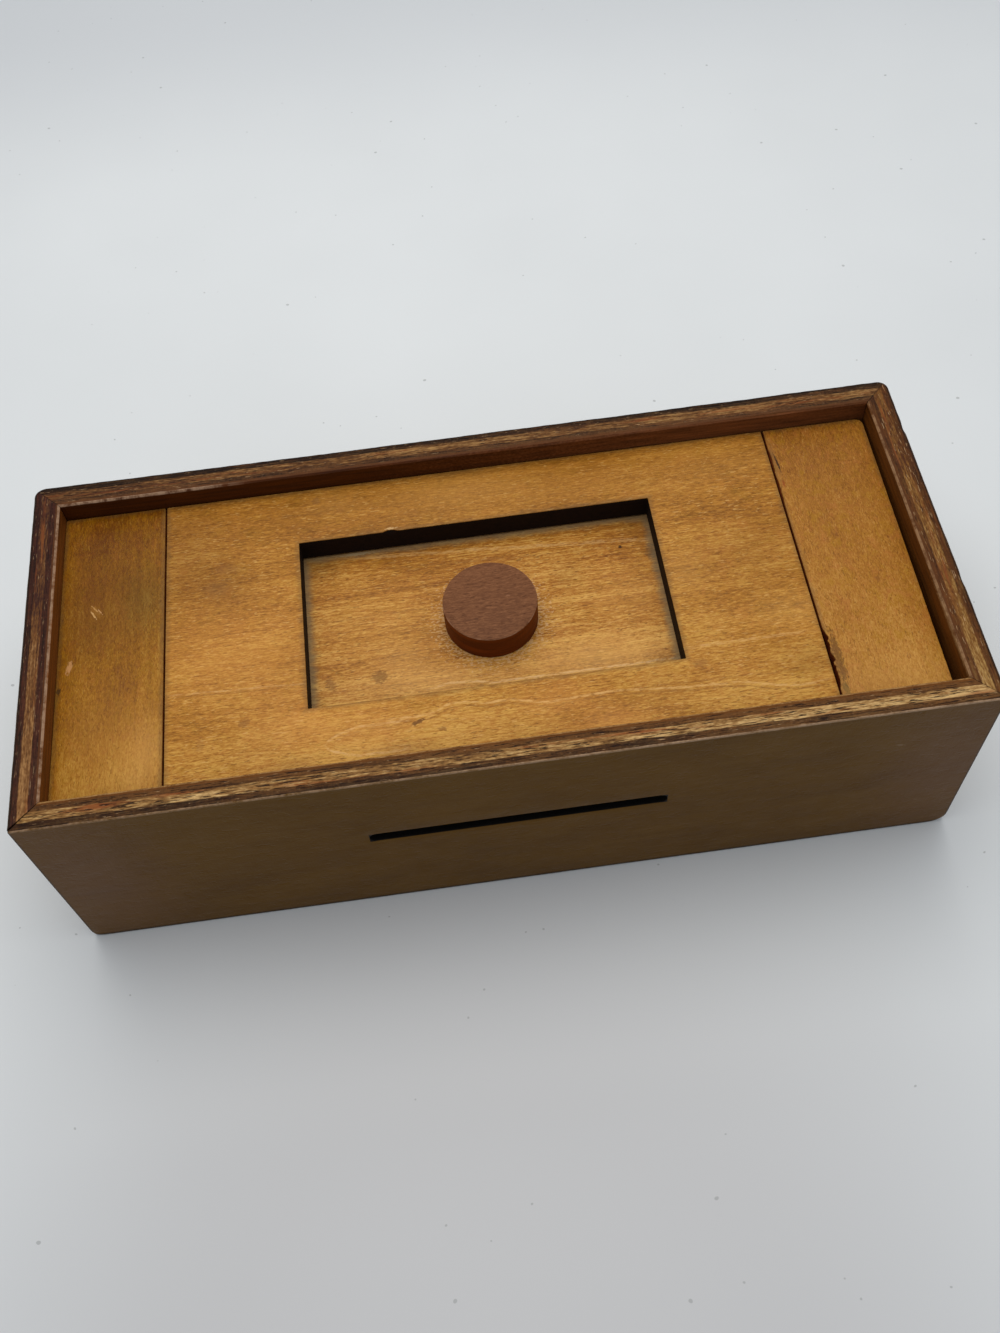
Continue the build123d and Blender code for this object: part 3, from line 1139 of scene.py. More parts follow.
@dataclass(frozen=True)
class Wall:
    """One mitred wall: its section swept along it, so that the worn arrises can waver."""

    side: Side
    half_length: float             # from the wall's middle to its outer corner
    half_span: float               # from the middle of the box to the wall's face
    height: float
    thickness: float = 6.0
    corners: Point = (0.5, 0.5)    # radius of the upright corner at its near end and at its far end
    knocks: Point = (1.0, 1.0)     # how much rounder those corners are worn at the very foot
    foot_radius: float = 0.4
    rim_radius: float = 0.4
    rim_inner_break: float = 0.35
    bottom_thickness: float = 4.0
    rebate_depth: float = 2.5
    mitre_gap: float = 0.03
    open_mitre: float = 0.0        # how far the mitre at its far end stands open on the outside
    step: float = 1.0
    fine_step: float = 0.4         # near the corners
    face_rows: int = 30            # rows of the outer face, closer together at the foot and at the rim
    dents: tuple[Dent, ...] = ()
    bow: float = 0.0               # how far the middle of the rim has drawn inwards
    bow_from: float = 45.0         # the height of the ledge, which holds the board straight below it
    note_slot: NoteSlot | None = None

    def stations(self) -> list[float]:
        """List the places along the wall where its section is drawn.

        Returns:
            The places, from -1 to 1, closer together near the corners.
        """
        fine = max(self.corners) + max(self.knocks) + 3 * self.fine_step
        fine_count = math.ceil(fine / self.fine_step)
        inner = self.half_length - fine
        count = math.ceil(2 * inner / self.step)
        ends = [fine * k / fine_count for k in range(fine_count)]
        places = [-self.half_length + k for k in ends]
        places += [-inner + 2 * inner * k / count for k in range(count + 1)]
        places += [self.half_length - k for k in reversed(ends)]
        return [place / self.half_length for place in places]

    def foot_wear(self, place: float) -> float:
        """Say how much rounder the foot is worn near the corners.

        Args:
            place: how far along the wall it is, in mm from its middle.

        Returns:
            What the wear adds to the foot's radius, in mm.
        """
        to_ends = (self.half_length + place, self.half_length - place)
        worn = [knock * math.exp(-(away / 2.0) ** 2) for knock, away in zip(self.knocks, to_ends)]
        return 0.6 * sum(worn)

    def corner(self, station: float, height: float) -> float:
        """Say how round an upright corner is.

        Args:
            station: which end of the wall is meant, by its sign.
            height: how high, in mm.

        Returns:
            The radius in mm, which grows towards the foot where the corner is knocked.
        """
        end = 1 if station > 0 else 0
        return self.corners[end] + self.knocks[end] * math.exp(-((height / 1.7) ** 2))

    def section(self, place: float) -> list[Point]:
        """Draw the wall's section: how deep below its face and how high each point lies.

        Args:
            place: how far along the wall the section is, in mm from its middle.

        Returns:
            The points, from the foot up the face, over the rim and down the inside.
        """
        seed = self.half_span + self.side.outward.x + 2 * self.side.outward.y
        rim = self.rim_radius + 0.12 * waver(place, 11.0, seed) + 0.08 * waver(place, 1.9, seed + 1)
        for dent in self.dents:
            rim += dent.deep * math.exp(-((place - dent.place) / dent.reach) ** 2)
        rim = max(rim, 0.2)
        foot = self.foot_radius + 0.1 * waver(place, 15.0, seed + 2) + self.foot_wear(place)
        inner = max(self.rim_inner_break + 0.14 * waver(place, 7.0, seed + 3), 0.12)
        turns = [math.radians(turn) for turn in (0, 18, 36, 54, 72, 90)]
        points = [(foot * (1 - math.sin(turn)), foot * (1 - math.cos(turn))) for turn in turns]
        low, high = foot, self.height - rim
        rises = [(1 - math.cos(math.pi * k / self.face_rows)) / 2 for k in range(1, self.face_rows)]
        points += [(0.0, low + (high - low) * rise) for rise in rises]
        points += [(rim * (1 - math.cos(turn)), high + rim * math.sin(turn)) for turn in turns]
        top_rows = 10
        first, last = rim, self.thickness - inner
        for k in range(1, top_rows + 1):
            depth = first + (last - first) * k / top_rows
            sunk = 0.03 + 0.03 * waver(place, 2.6, seed + 4 + depth) if k < top_rows else 0.0
            points.append((depth, self.height - max(sunk, 0.0)))
        points.append((self.thickness, self.height - inner))
        rows = 8
        below, above = self.bottom_thickness, self.height - inner
        points += [(self.thickness, above + (below - above) * k / rows) for k in range(1, rows + 1)]
        rebate = self.thickness - self.rebate_depth
        return points + [(rebate, self.bottom_thickness), (rebate, 0.0)]

    def place(self, station: float, depth: float, height: float) -> Vector:
        """Find a point of the wall in the box's frame.

        Args:
            station: how far along the wall it is, from -1 to 1.
            depth: how deep below the outer face, in mm.
            height: how high, in mm.

        Returns:
            The point, in mm.
        """
        gap = self.mitre_gap
        if station > 0:
            gap += self.open_mitre * (1 - depth / self.thickness)
        along = station * (self.half_length - depth - gap)
        drawn = max((height - self.bow_from) / (self.height - self.bow_from), 0.0)
        out = self.half_span - depth - self.bow * drawn * (1 - station**2)
        radius = self.corner(station, height)
        corner_along = self.half_length - radius
        corner_out = self.half_span - radius
        past_along, past_out = abs(along) - corner_along, out - corner_out
        if past_along > 0 and past_out > 0:
            # Squares round the upright corner's centre become circles, which rounds the corner.
            pull = max(past_along, past_out) / math.hypot(past_along, past_out)
            along = math.copysign(corner_along + past_along * pull, along)
            out = corner_out + past_out * pull
        flat = self.side.along * along + self.side.outward * out
        return Vector((flat.x, flat.y, height))

    def build(self) -> bmesh.types.BMesh:
        """Build the wall, with the note slot if it has one.

        Returns:
            Its mesh, in mm.
        """
        bm = bmesh.new()
        rings = []
        for station in self.stations():
            section = self.section(station * self.half_length)
            rings.append([bm.verts.new(self.place(station, *point)) for point in section])
        for ring, following in zip(rings, rings[1:]):
            join_rings(bm, ring, following)
        for ring in (rings[0], rings[-1]):
            cap = bm.faces.new(ring)
            bmesh.ops.triangulate(bm, faces=[cap])
        if self.note_slot:
            self.cut_slot(bm)
        return bm

    def cut_slot(self, bm: bmesh.types.BMesh) -> None:
        """Open the note slot: take out the faces round it and join what is left to the slot's rings.

        Args:
            bm: the mesh of the front wall, in mm.
        """
        slot = self.note_slot
        margin = 0.8
        half_long, half_high = slot.length / 2 + margin, slot.height / 2 + margin
        left, right = slot.along - half_long, slot.along + half_long
        low, high = slot.up - half_high, slot.up + half_high
        bm.normal_update()
        doomed = []
        for face in bm.faces:
            across = [vert.co.x for vert in face.verts]
            upwards = [vert.co.z for vert in face.verts]
            beside = min(across) > right or max(across) < left
            apart = min(upwards) > high or max(upwards) < low
            if abs(face.normal.y) > 0.9 and not beside and not apart:
                doomed.append(face)
        bmesh.ops.delete(bm, geom=doomed, context="FACES")
        rims = [edge for edge in bm.edges if edge.is_boundary]
        middle = -self.half_span + self.thickness / 2
        depths = ((0.0, slot.eased), (slot.eased * 0.3, slot.eased * 0.3), (slot.eased, 0.0))
        back = tuple((self.thickness - depth, grow) for depth, grow in reversed(depths))
        rings = []
        for depth, grow in (*depths, (self.thickness / 2, 0.0), *back):
            ring = [bm.verts.new((along, -self.half_span + depth, up)) for along, up in slot.ring(grow)]
            rings.append(ring)
        for ring, following in zip(rings, rings[1:]):
            join_rings(bm, ring, following)
        for ring, is_outer in ((rings[0], True), (rings[-1], False)):
            around = [edge for edge in rims if (edge.verts[0].co.y < middle) == is_outer]
            bmesh.ops.triangle_fill(bm, edges=around + ring_edges(bm, ring), use_beauty=True)


@dataclass(frozen=True)
class Carcass:
    """The case of the box: four mitred walls, the bottom in its rebate and the ledges inside."""

    half_length: float
    half_width: float
    height: float
    slot: NoteSlot = NoteSlot()
    open_mitre: float = 0.6
    back_bow: float = 0.25
    front_corner: float = 0.5
    back_corner: float = 2.4
    rim_dents: tuple[Dent, ...] = (
        Dent(place=29.0, reach=1.3, deep=0.6),
        Dent(place=-14.5, reach=1.6, deep=0.45),
    )

    @property
    def ends(self) -> dict[Side, tuple[Point, Point]]:
        """How round the upright corners are.

        Returns:
            For each wall, the radii at its near and far end, and how much the foot's knocks add to them.
        """
        front, back = self.front_corner, self.back_corner
        return {
            Side.FRONT: ((front, front), (0.9, 2.2)),
            Side.RIGHT: ((front, back), (2.2, 0.5)),
            Side.BACK: ((back, back), (0.5, 0.5)),
            Side.LEFT: ((back, front), (0.5, 0.9)),
        }

    def reach(self, side: Side) -> Point:
        """Say how far a wall goes either way from its middle, and how far out its face is, in mm."""
        lengths = (self.half_length, self.half_width)
        return lengths if side.is_long else lengths[::-1]

    def wall_plies(self, side: Side, seed: float) -> SawnPlies:
        """Choose the plies that show along the rim of one wall.

        Args:
            side: the side that the wall stands on.
            seed: shifts their pattern.

        Returns:
            The plies, in that wall's tones.
        """
        kinds = {
            Side.FRONT: SawnPlies(
                seed, cross_dark="#2E190B", cross_light="#764C24", core_dark="#4A2C16", core="#926A3A",
                core_light="#D4AE74", core_tone=0.55, cross_tone=0.37, cross_slope=0.085,
                cross_along=0.0015, core_along=0.0022, core_slope=-0.14, core_shift=0.13,
                mingled=0.08, rust_share=0.8, dark_share=0.9, dark_from=0.06, light_share=0.6,
            ),
            Side.BACK: SawnPlies(
                seed, cross_dark="#150A05", cross_light="#744A28", core_dark="#371D11", core="#6E4824",
                core_light="#A87F4C", core_tone=0.46, cross_tone=0.23, cross_slope=0.1, mingled=0.22,
                light_share=0.6, dark_share=0.9, core_along=0.0012,
            ),
            Side.LEFT: SawnPlies(
                seed, cross_dark="#1B0D0A", cross_light="#542A1C", core_dark="#3C2018", core="#704824",
                core_light="#A87C4C", core_tone=0.42, cross_tone=0.36, cross_slope=0.03, mingled=0.12,
                core_along=-0.008, core_shift=0.25,
            ),
            Side.RIGHT: SawnPlies(
                seed, cross_dark="#2B1508", cross_light="#673B18", core_dark="#4C2814", core="#805626",
                core_light="#B89256", core_tone=0.46, cross_tone=0.45, cross_slope=0.0, mingled=0.25,
                light_share=0.6, rust_share=0.9, dark_share=0.9, core_along=-0.004, cross_along=-0.004,
            ),
        }
        return kinds[side]

    def wall_finish(self, side: Side) -> bpy.types.Material:
        """Make the finish of one wall.

        Args:
            side: the side that the wall stands on.

        Returns:
            The material, with its own grain and wear.
        """
        half_length, span = self.reach(side)
        along = 0 if side.is_long else 1
        sign = sum(side.outward)
        seed = {Side.FRONT: 1.7, Side.BACK: 13.2, Side.LEFT: 27.9, Side.RIGHT: 39.4}[side]
        front_marks = (
            Mark(81.0, 41.8, 2.2, 0.8, "#8A7358", 0.55, -20),
            Mark(90.3, 13.9, 2.6, 0.7, "#7C6448", 0.5, -15),
            # painted sheen: the front face lighter and greyer towards both ends
            Cloud(-92.0, 30.0, 30.0, 70.0, "#6E5040", 0.4),
            Cloud(95.0, 30.0, 30.0, 70.0, "#6E5040", 0.4),
        )
        face = Veneer(
            dark="#4E320C", middle="#61420D", light="#6F4F1B", pore="#422A0C", seed=seed,
            contrast=0.36, cloud=2.2, streak=2.0, curl=0.2, fleck_long=5.0, fleck_wide=0.6, pore_share=0.08,
            # painted shade: the face darker towards its foot
            painted_light_across=0.003, tone=0.37,
            marks=front_marks if side is Side.FRONT else (),
        )
        # painted light and shade: one stain, drawn lighter inside the left wall and darker inside the back
        # and front walls
        inner_stains_lit_and_shaded = {
            Side.FRONT: "#451D08",
            Side.BACK: "#4D2508",
            Side.LEFT: "#7C4618",
            Side.RIGHT: "#673B13",
        }
        # pale inner arrises: wear, with a painted highlight
        inner_wears_and_highlights = {Side.FRONT: "#BC9058", Side.RIGHT: "#A27E5A"}
        inner_marks_and_highlights = {
            # painted highlight high on the back wall's inner face
            Side.BACK: (Cloud(65.0, 53.0, 110.0, 24.0, "#8A5430", 0.55),),
            # pale inner arris on the right wall: wear, with a painted highlight
            Side.RIGHT: (Mark(-26.0, 55.3, 26.0, 1.0, "#A88458", 0.75, soft=0.5),),
        }
        finish = StainedWallPly(
            name=side.node + "_walnut_stained_ply",
            lie=Lie(along, 2, 1 - along, sign * span, -sign),
            half_length=half_length,
            height=self.height,
            plies=self.wall_plies(side, seed),
            face=face,
            slot_middle=(self.slot.along, self.slot.up) if side is Side.FRONT else None,
            slot_half=(self.slot.length / 2, self.slot.height / 2),
            inner=inner_stains_lit_and_shaded[side],
            inner_marks_and_highlights=inner_marks_and_highlights.get(side, ()),
            inner_wear_and_highlight=inner_wears_and_highlights.get(side, "#B49478"),
            inner_ply="#683C14" if side is Side.FRONT else "#5A3418",
            inner_wear_and_highlight_share=0.7,
            inner_wear_and_highlight_span=(-48.0, -66.0) if side is Side.BACK else (300.0, 290.0),
            outer_wear_and_highlight_along=0.003 if side is Side.FRONT else 0.0,
            outer_wear_and_highlight_share=0.85 if side is Side.FRONT else 0.12,
            outer_grime_share=0.0 if side is Side.FRONT else 0.8,
        )
        return finish.make()

    def build_walls(self) -> None:
        """Build and dress the four walls."""
        for side in Side:
            half_length, half_span = self.reach(side)
            corners, knocks = self.ends[side]
            wall = Wall(
                side=side,
                half_length=half_length,
                half_span=half_span,
                height=self.height,
                corners=corners,
                knocks=knocks,
                open_mitre=self.open_mitre if side is Side.LEFT else 0.0,
                bow=self.back_bow if side is Side.BACK else 0.0,
                dents=self.rim_dents if side is Side.RIGHT else (),
                note_slot=self.slot if side is Side.FRONT else None,
            )
            add_piece(wall.build(), side.node, "case", self.wall_finish(side))

    def build_inside(self) -> None:
        """Build and dress the bottom and the ledges."""
        names = ["bottom_panel"]
        names += [f"{side}_{kind}_ledge" for side in ("front", "back") for kind in ("slide", "lid")]
        for number, name in enumerate(names):
            low, high = box_mm(name)
            slab = Slab(box_outline(low, high, 0.3, 8.0), low.z, high.z, ease=0.25)
            veneer = Veneer("#A07A4C", "#BC9664", "#D0AE7E", "#8A6238", 51.0 + 3.3 * number, streak=1.5)
            finish = BareWood(name + "_bare_birch", Lie(0, 1, 2, high.z, -1.0), veneer)
            add_piece(slab.build(), name, "case", finish.make())


# ---------------------------------------------------------------- the deck

@dataclass(frozen=True)
class Tear:
    """A place where wood is torn off along an edge, in mm."""

    middle: float
    half: float
    deep: float                    # how far in from the edge it goes
    down: float = 0.5              # how far below the face, which is the top veneer alone by default


@dataclass(frozen=True)
class Deck:
    """The deck: the fixed end strip, the lid with its window and the loose key strip."""

    top: float = 51.0
    thickness: float = 6.0
    edge_radius: float = 0.12
    corner: float = 0.3
    key_corner: float = 1.6
    key_taper: float = 1.0         # how much further left the key strip's right end is at its front
    skew: float = 0.4              # and the joint between the lid and the key strip
    window_middle: Point = (-0.4, 0.3)
    window_half: Point = (40.0, 22.0)
    key_tears: tuple[Tear, ...] = (
        Tear(28.5, 3.4, 0.25),
        Tear(19.5, 4.0, 0.2),
        Tear(-26.0, 7.5, 0.75, down=4.0),
    )
    window_chip: Tear = Tear(-19.6, 1.3, 0.5)
    char_from: float = 0.24        # how far below the face the charring begins on the end strips
    lid_char_from: float = 0.14    # and on the lid

    def finish(self, node: str, along: int, face: Veneer, has_window: bool = False) -> bpy.types.Material:
        """Make a deck piece's finish.

        Args:
            node: the CAD node of the piece.
            along: the axis that its grain follows, 0 or 1.
            face: the veneer on its face.
            has_window: whether the window is cut through it.

        Returns:
            The material.
        """
        low, high = box_mm(node)
        across = 1 - along
        middle, half = (low + high) / 2, (high - low) / 2
        finish = StainedDeckPly(
            name=node + "_golden_stained_ply",
            lie=Lie(along, across, 2, self.top, -1.0),
            thickness=self.thickness,
            face=face,
            middle=(middle[along], middle[across]),
            half=(half[along], half[across]),
            char_from=self.lid_char_from if has_window else self.char_from,
            window_middle=self.window_middle if has_window else None,
            window_half=self.window_half,
        )
        return finish.make()

    def ragged(self, place: Vector, height: float) -> float:
        """Say how far the cut edge retreats at a place, as sawn and handled edges do."""
        return 0.01 + 0.04 * abs(waver(place.x + place.y, 2.3, 3.0)) if height > self.top - 0.8 else 0.01

    def torn(self, place: Vector, height: float) -> float:
        """Say how far the key strip's left edge retreats where its veneer is torn.

        Args:
            place: where on the outline, in mm.
            height: how high, in mm.

        Returns:
            How far the edge retreats, in mm.
        """
        low, high = box_mm("key_strip")
        retreat = self.ragged(place, height)
        joint = low.x + self.skew * (place.y - low.y) / (high.y - low.y)
        if place.x > joint + self.edge_radius:
            return retreat
        for tear in self.key_tears:
            share = 1 - ((place.y - tear.middle) / tear.half) ** 2
            if share > 0 and height > self.top - tear.down:
                shred = 0.75 + 0.5 * waver(place.y, 0.9, 5.0) + 0.3 * waver(place.y, 0.35, 9.0)
                retreat += tear.deep * math.sqrt(share) * max(shred, 0.1)
        return retreat

    def chipped(self, place: Vector, height: float) -> float:
        """Say how far the lid's edges retreat, with the chip on the window's far rim.

        Args:
            place: where on the outline, in mm.
            height: how high, in mm.

        Returns:
            How far the edge retreats, in mm.
        """
        retreat = self.ragged(place, height)
        on_far_rim = abs(place.y - self.window_middle[1] - self.window_half[1]) < 0.1
        share = 1 - ((place.x - self.window_chip.middle) / self.window_chip.half) ** 2
        if on_far_rim and share > 0 and height > self.top - self.window_chip.down:
            retreat += self.window_chip.deep * math.sqrt(share)
        return retreat

    def build_left_strip(self) -> None:
        """Build and dress the fixed strip at the left end."""
        low, high = box_mm("left_end_strip")
        slab = Slab(
            box_outline(low, high, self.corner, 0.9), low.z, high.z,
            ease=self.edge_radius, rows=6, wear=self.ragged,
        )
        marks = (
            Cloud(-28.0, -74.5, 18.0, 9.0, HONEY, 0.3, soft=0.75),
            Cloud(-20.0, -86.0, 16.0, 14.0, UMBER, 0.2, soft=0.75),
            Cloud(6.0, -88.5, 18.0, 12.0, UMBER, 0.25, soft=0.75),
            Cloud(12.0, -75.5, 16.0, 10.0, "#4A440A", 0.36, soft=0.75),
            # painted light and shade: lighter towards the front, and darker towards the back
            Cloud(-26.0, -80.0, 36.0, 26.0, "#CC8C44", 0.22, soft=0.75),
            Cloud(14.0, -83.0, 34.0, 34.0, UMBER, 0.42, soft=0.75),
            Mark(-9.5, -93.3, 2.2, 0.9, "#1C0E08", 0.8),
            Mark(-3.5, -91.3, 3.6, 1.3, "#C8925E", 0.7, 12),
            Mark(10.4, -85.2, 2.4, 0.3, "#D0A070", 0.7, -34),
            Mark(11.2, -86.3, 2.8, 0.35, "#D0A064", 0.7, -38),
            Mark(9.7, -86.6, 3.2, 0.4, "#D8AC70", 0.8, -30),
            Mark(10.4, -86.1, 4.4, 2.0, "#A8742C", 0.3, -32),
        )
        face = Veneer(
            dark="#673805", middle="#97620C", light="#C0903A", pore="#663B0C", seed=61.0,
            # painted light: the face lighter towards the front
            contrast=0.88, cloud=1.4, streak=1.0, tone=0.42, painted_light_along=-0.0062, marks=marks,
            glint="#AC7C30", glint_share=0.45, curl=1.2, fleck_long=1.5, fleck_wide=0.5,
            olive="#8E6606", blush="#9A5A1C", mottle_share=0.36, mottle_size=4.0,
        )
        finish = self.finish("left_end_strip", 1, face)
        add_piece(slab.build(), "left_end_strip", "case", finish)

    def build_lid(self) -> None:
        """Build and dress the lid, with the window cut through it."""
        low, high = box_mm("lid_panel")
        window_low = Vector(self.window_middle) - Vector(self.window_half)
        window_high = Vector(self.window_middle) + Vector(self.window_half)
        corners = [
            (low.x, low.y, self.corner),
            (high.x - self.skew, low.y, self.corner),
            (high.x, high.y, self.corner),
            (low.x, high.y, self.corner),
        ]
        slab = Slab(
            rounded_outline(corners, 0.9), low.z, high.z,
            holes=(box_outline(window_low, window_high, 0.15, 0.7),),
            ease=self.edge_radius, rows=6, wear=self.chipped,
        )
        bends = ((-9.0, 4.0, 2.2), (0.5, 5.0, 1.6), (24.0, 9.0, 0.9), (62.0, 8.0, -2.2))
        lines = (
            GrowthLine(-27.6, -0.03, 0.42, "#DCAC68", 0.8, -24, 68, bends),
            GrowthLine(-28.5, -0.03, 0.35, LINE_BROWN, 0.65, -24, 68, bends),
            GrowthLine(-26.8, -0.02, 0.3, "#8E5E2A", 0.5, 30, 66, wander=0.8),
            GrowthLine(-18.1, -0.05, 0.35, LINE_BROWN, 0.7, -70, -41, wander=0.3),
            GrowthLine(-17.5, -0.05, 0.35, "#D8AA6C", 0.55, -70, -41, wander=0.3),
            GrowthLine(-19.6, 0.01, 0.5, "#D8A868", 0.6, 38, 66, wander=0.8),
            GrowthLine(-31.1, 0.0, 0.45, "#DEB070", 0.8, -37.2, -20, wander=0.5, tongue=(3.4, 7.0)),
            GrowthLine(-31.1, 0.0, 0.3, "#8E5E2A", 0.5, -35.6, -20, wander=0.5, tongue=(2.6, 7.0)),
        )
        marks = (
            Mark(-59.2, 12.4, 6.5, 5.0, "#84592C", 0.40),
            Mark(-57.0, 17.5, 7.0, 3.0, "#8E6030", 0.35),
            Mark(-53.7, -23.2, 3.0, 2.0, "#7A4C22", 0.45, 30),
            Mark(-63.1, -27.0, 2.0, 3.4, "#8A5A2A", 0.30),
            Mark(-17.9, -28.5, 3.2, 1.1, "#5A3414", 0.75, 25),
            Mark(-13.0, -30.8, 1.8, 1.1, "#7A4C22", 0.5),
            Mark(42.2, -23.3, 4.0, 2.0, "#8C5C2C", 0.45),
            Mark(-36.0, 34.0, 2.0, 2.2, "#84592C", 0.5),
            Mark(-19.6, 23.1, 3.0, 0.7, "#D8B078", 0.8),
        )
        clouds = (
            # painted shade along the back of the lid
            Cloud(10.0, 32.0, 140.0, 20.0, "#A0691F", 0.4),
            Cloud(-66.0, 22.0, 20.0, 36.0, TOBACCO, 0.32),
            Cloud(-56.0, 13.0, 16.0, 14.0, TOBACCO, 0.2),
            Cloud(-32.0, 33.0, 12.0, 8.0, HONEY, 0.12),
            Cloud(-3.0, 32.0, 32.0, 12.0, HONEY, 0.16),
            Cloud(44.0, 1.0, 10.0, 14.0, HONEY, 0.16),
            Cloud(34.0, -27.0, 12.0, 8.0, CHESTNUT, 0.12),
            Cloud(-44.0, -24.0, 16.0, 14.0, AMBER, 0.2),
            Cloud(-21.0, -35.0, 12.0, 5.0, CHESTNUT, 0.35),
            Cloud(-44.0, -35.0, 10.0, 5.0, CHESTNUT, 0.25),
            Cloud(-56.0, -5.0, 38.0, 26.0, AMBER, 0.22),
            Cloud(-30.0, -28.0, 26.0, 12.0, AMBER, 0.2),
            Cloud(58.0, 30.0, 28.0, 14.0, HONEY, 0.08),
            Cloud(61.0, 4.0, 26.0, 22.0, CHESTNUT, 0.22),
            Cloud(65.0, -13.0, 18.0, 10.0, HONEY, 0.22),
            Cloud(66.0, -26.0, 16.0, 10.0, CHESTNUT, 0.28),
            Cloud(22.0, -34.5, 16.0, 7.0, AMBER, 0.28),
            Cloud(11.0, -27.0, 16.0, 9.0, AMBER, 0.2),
        )
        face = Veneer(
            dark="#7A4A13", middle="#AE7429", light="#D29F4B", pore="#7C4F1C", seed=73.0,
            # painted light: the face lighter towards the front
            tone=0.47, painted_light_across=-0.0042, lines=lines, marks=clouds + marks,
            glint="#DAAA62", glint_share=0.6, contrast=1.2, cloud=0.9, streak=0.85, mottle_share=0.2,
        )
        finish = self.finish("lid_panel", 0, face, has_window=True)
        add_piece(slab.build(), "lid_panel", "lid", finish)

    def build_key_strip(self) -> None:
        """Build and dress the loose strip at the right end, a slight wedge."""
        low, high = box_mm("key_strip")
        corners = [
            (low.x, low.y, self.corner),
            (high.x - self.key_taper, low.y, self.key_corner),
            (high.x, high.y, self.key_corner),
            (low.x + self.skew, high.y, self.corner),
        ]
        slab = Slab(
            rounded_outline(corners, 0.5), low.z, high.z, ease=self.edge_radius, rows=11, wear=self.torn
        )
        marks = (
            # painted light and shade: darker towards the back, lighter towards the front
            Cloud(20.0, 82.0, 24.0, 18.0, UMBER, 0.13),
            Cloud(-35.0, 82.0, 18.0, 36.0, HONEY, 0.22),
            Mark(28.0, 70.5, 15.0, 1.5, "#8A5E2C", 0.4),
            Mark(27.5, 70.9, 6.5, 0.5, "#2E1608", 0.9, -5),
            Mark(21.3, 70.9, 2.4, 0.6, "#8A3C12", 0.7),
            Mark(-26.5, 70.9, 15.0, 2.0, "#4E2C10", 0.6),
            Mark(-34.5, 70.6, 5.0, 1.4, "#6A5424", 0.6),
            Mark(5.0, 79.0, 1.4, 0.8, RED_SPECK, 0.6),
            Mark(-8.0, 84.5, 1.6, 1.2, RED_SPECK, 0.5),
            Mark(17.5, 82.0, 1.5, 0.8, RED_SPECK, 0.5),
        )
        face = Veneer(
            dark="#774511", middle="#A66D24", light="#CA964A", pore="#744818", seed=89.0,
            # painted light: the face lighter towards the front
            contrast=0.92, cloud=0.8, streak=0.4, tone=0.44, painted_light_along=-0.004, marks=marks,
            glint="#CC9850", glint_share=0.45, curl=1.4, fleck_long=1.2, fleck_wide=0.55,
            olive="#A67612", blush="#AE6A30", mottle_share=0.45, mottle_size=3.6,
        )
        finish = self.finish("key_strip", 1, face)
        add_piece(slab.build(), "key_strip", "key", finish)


# ---------------------------------------------------------------- the slide and its knob

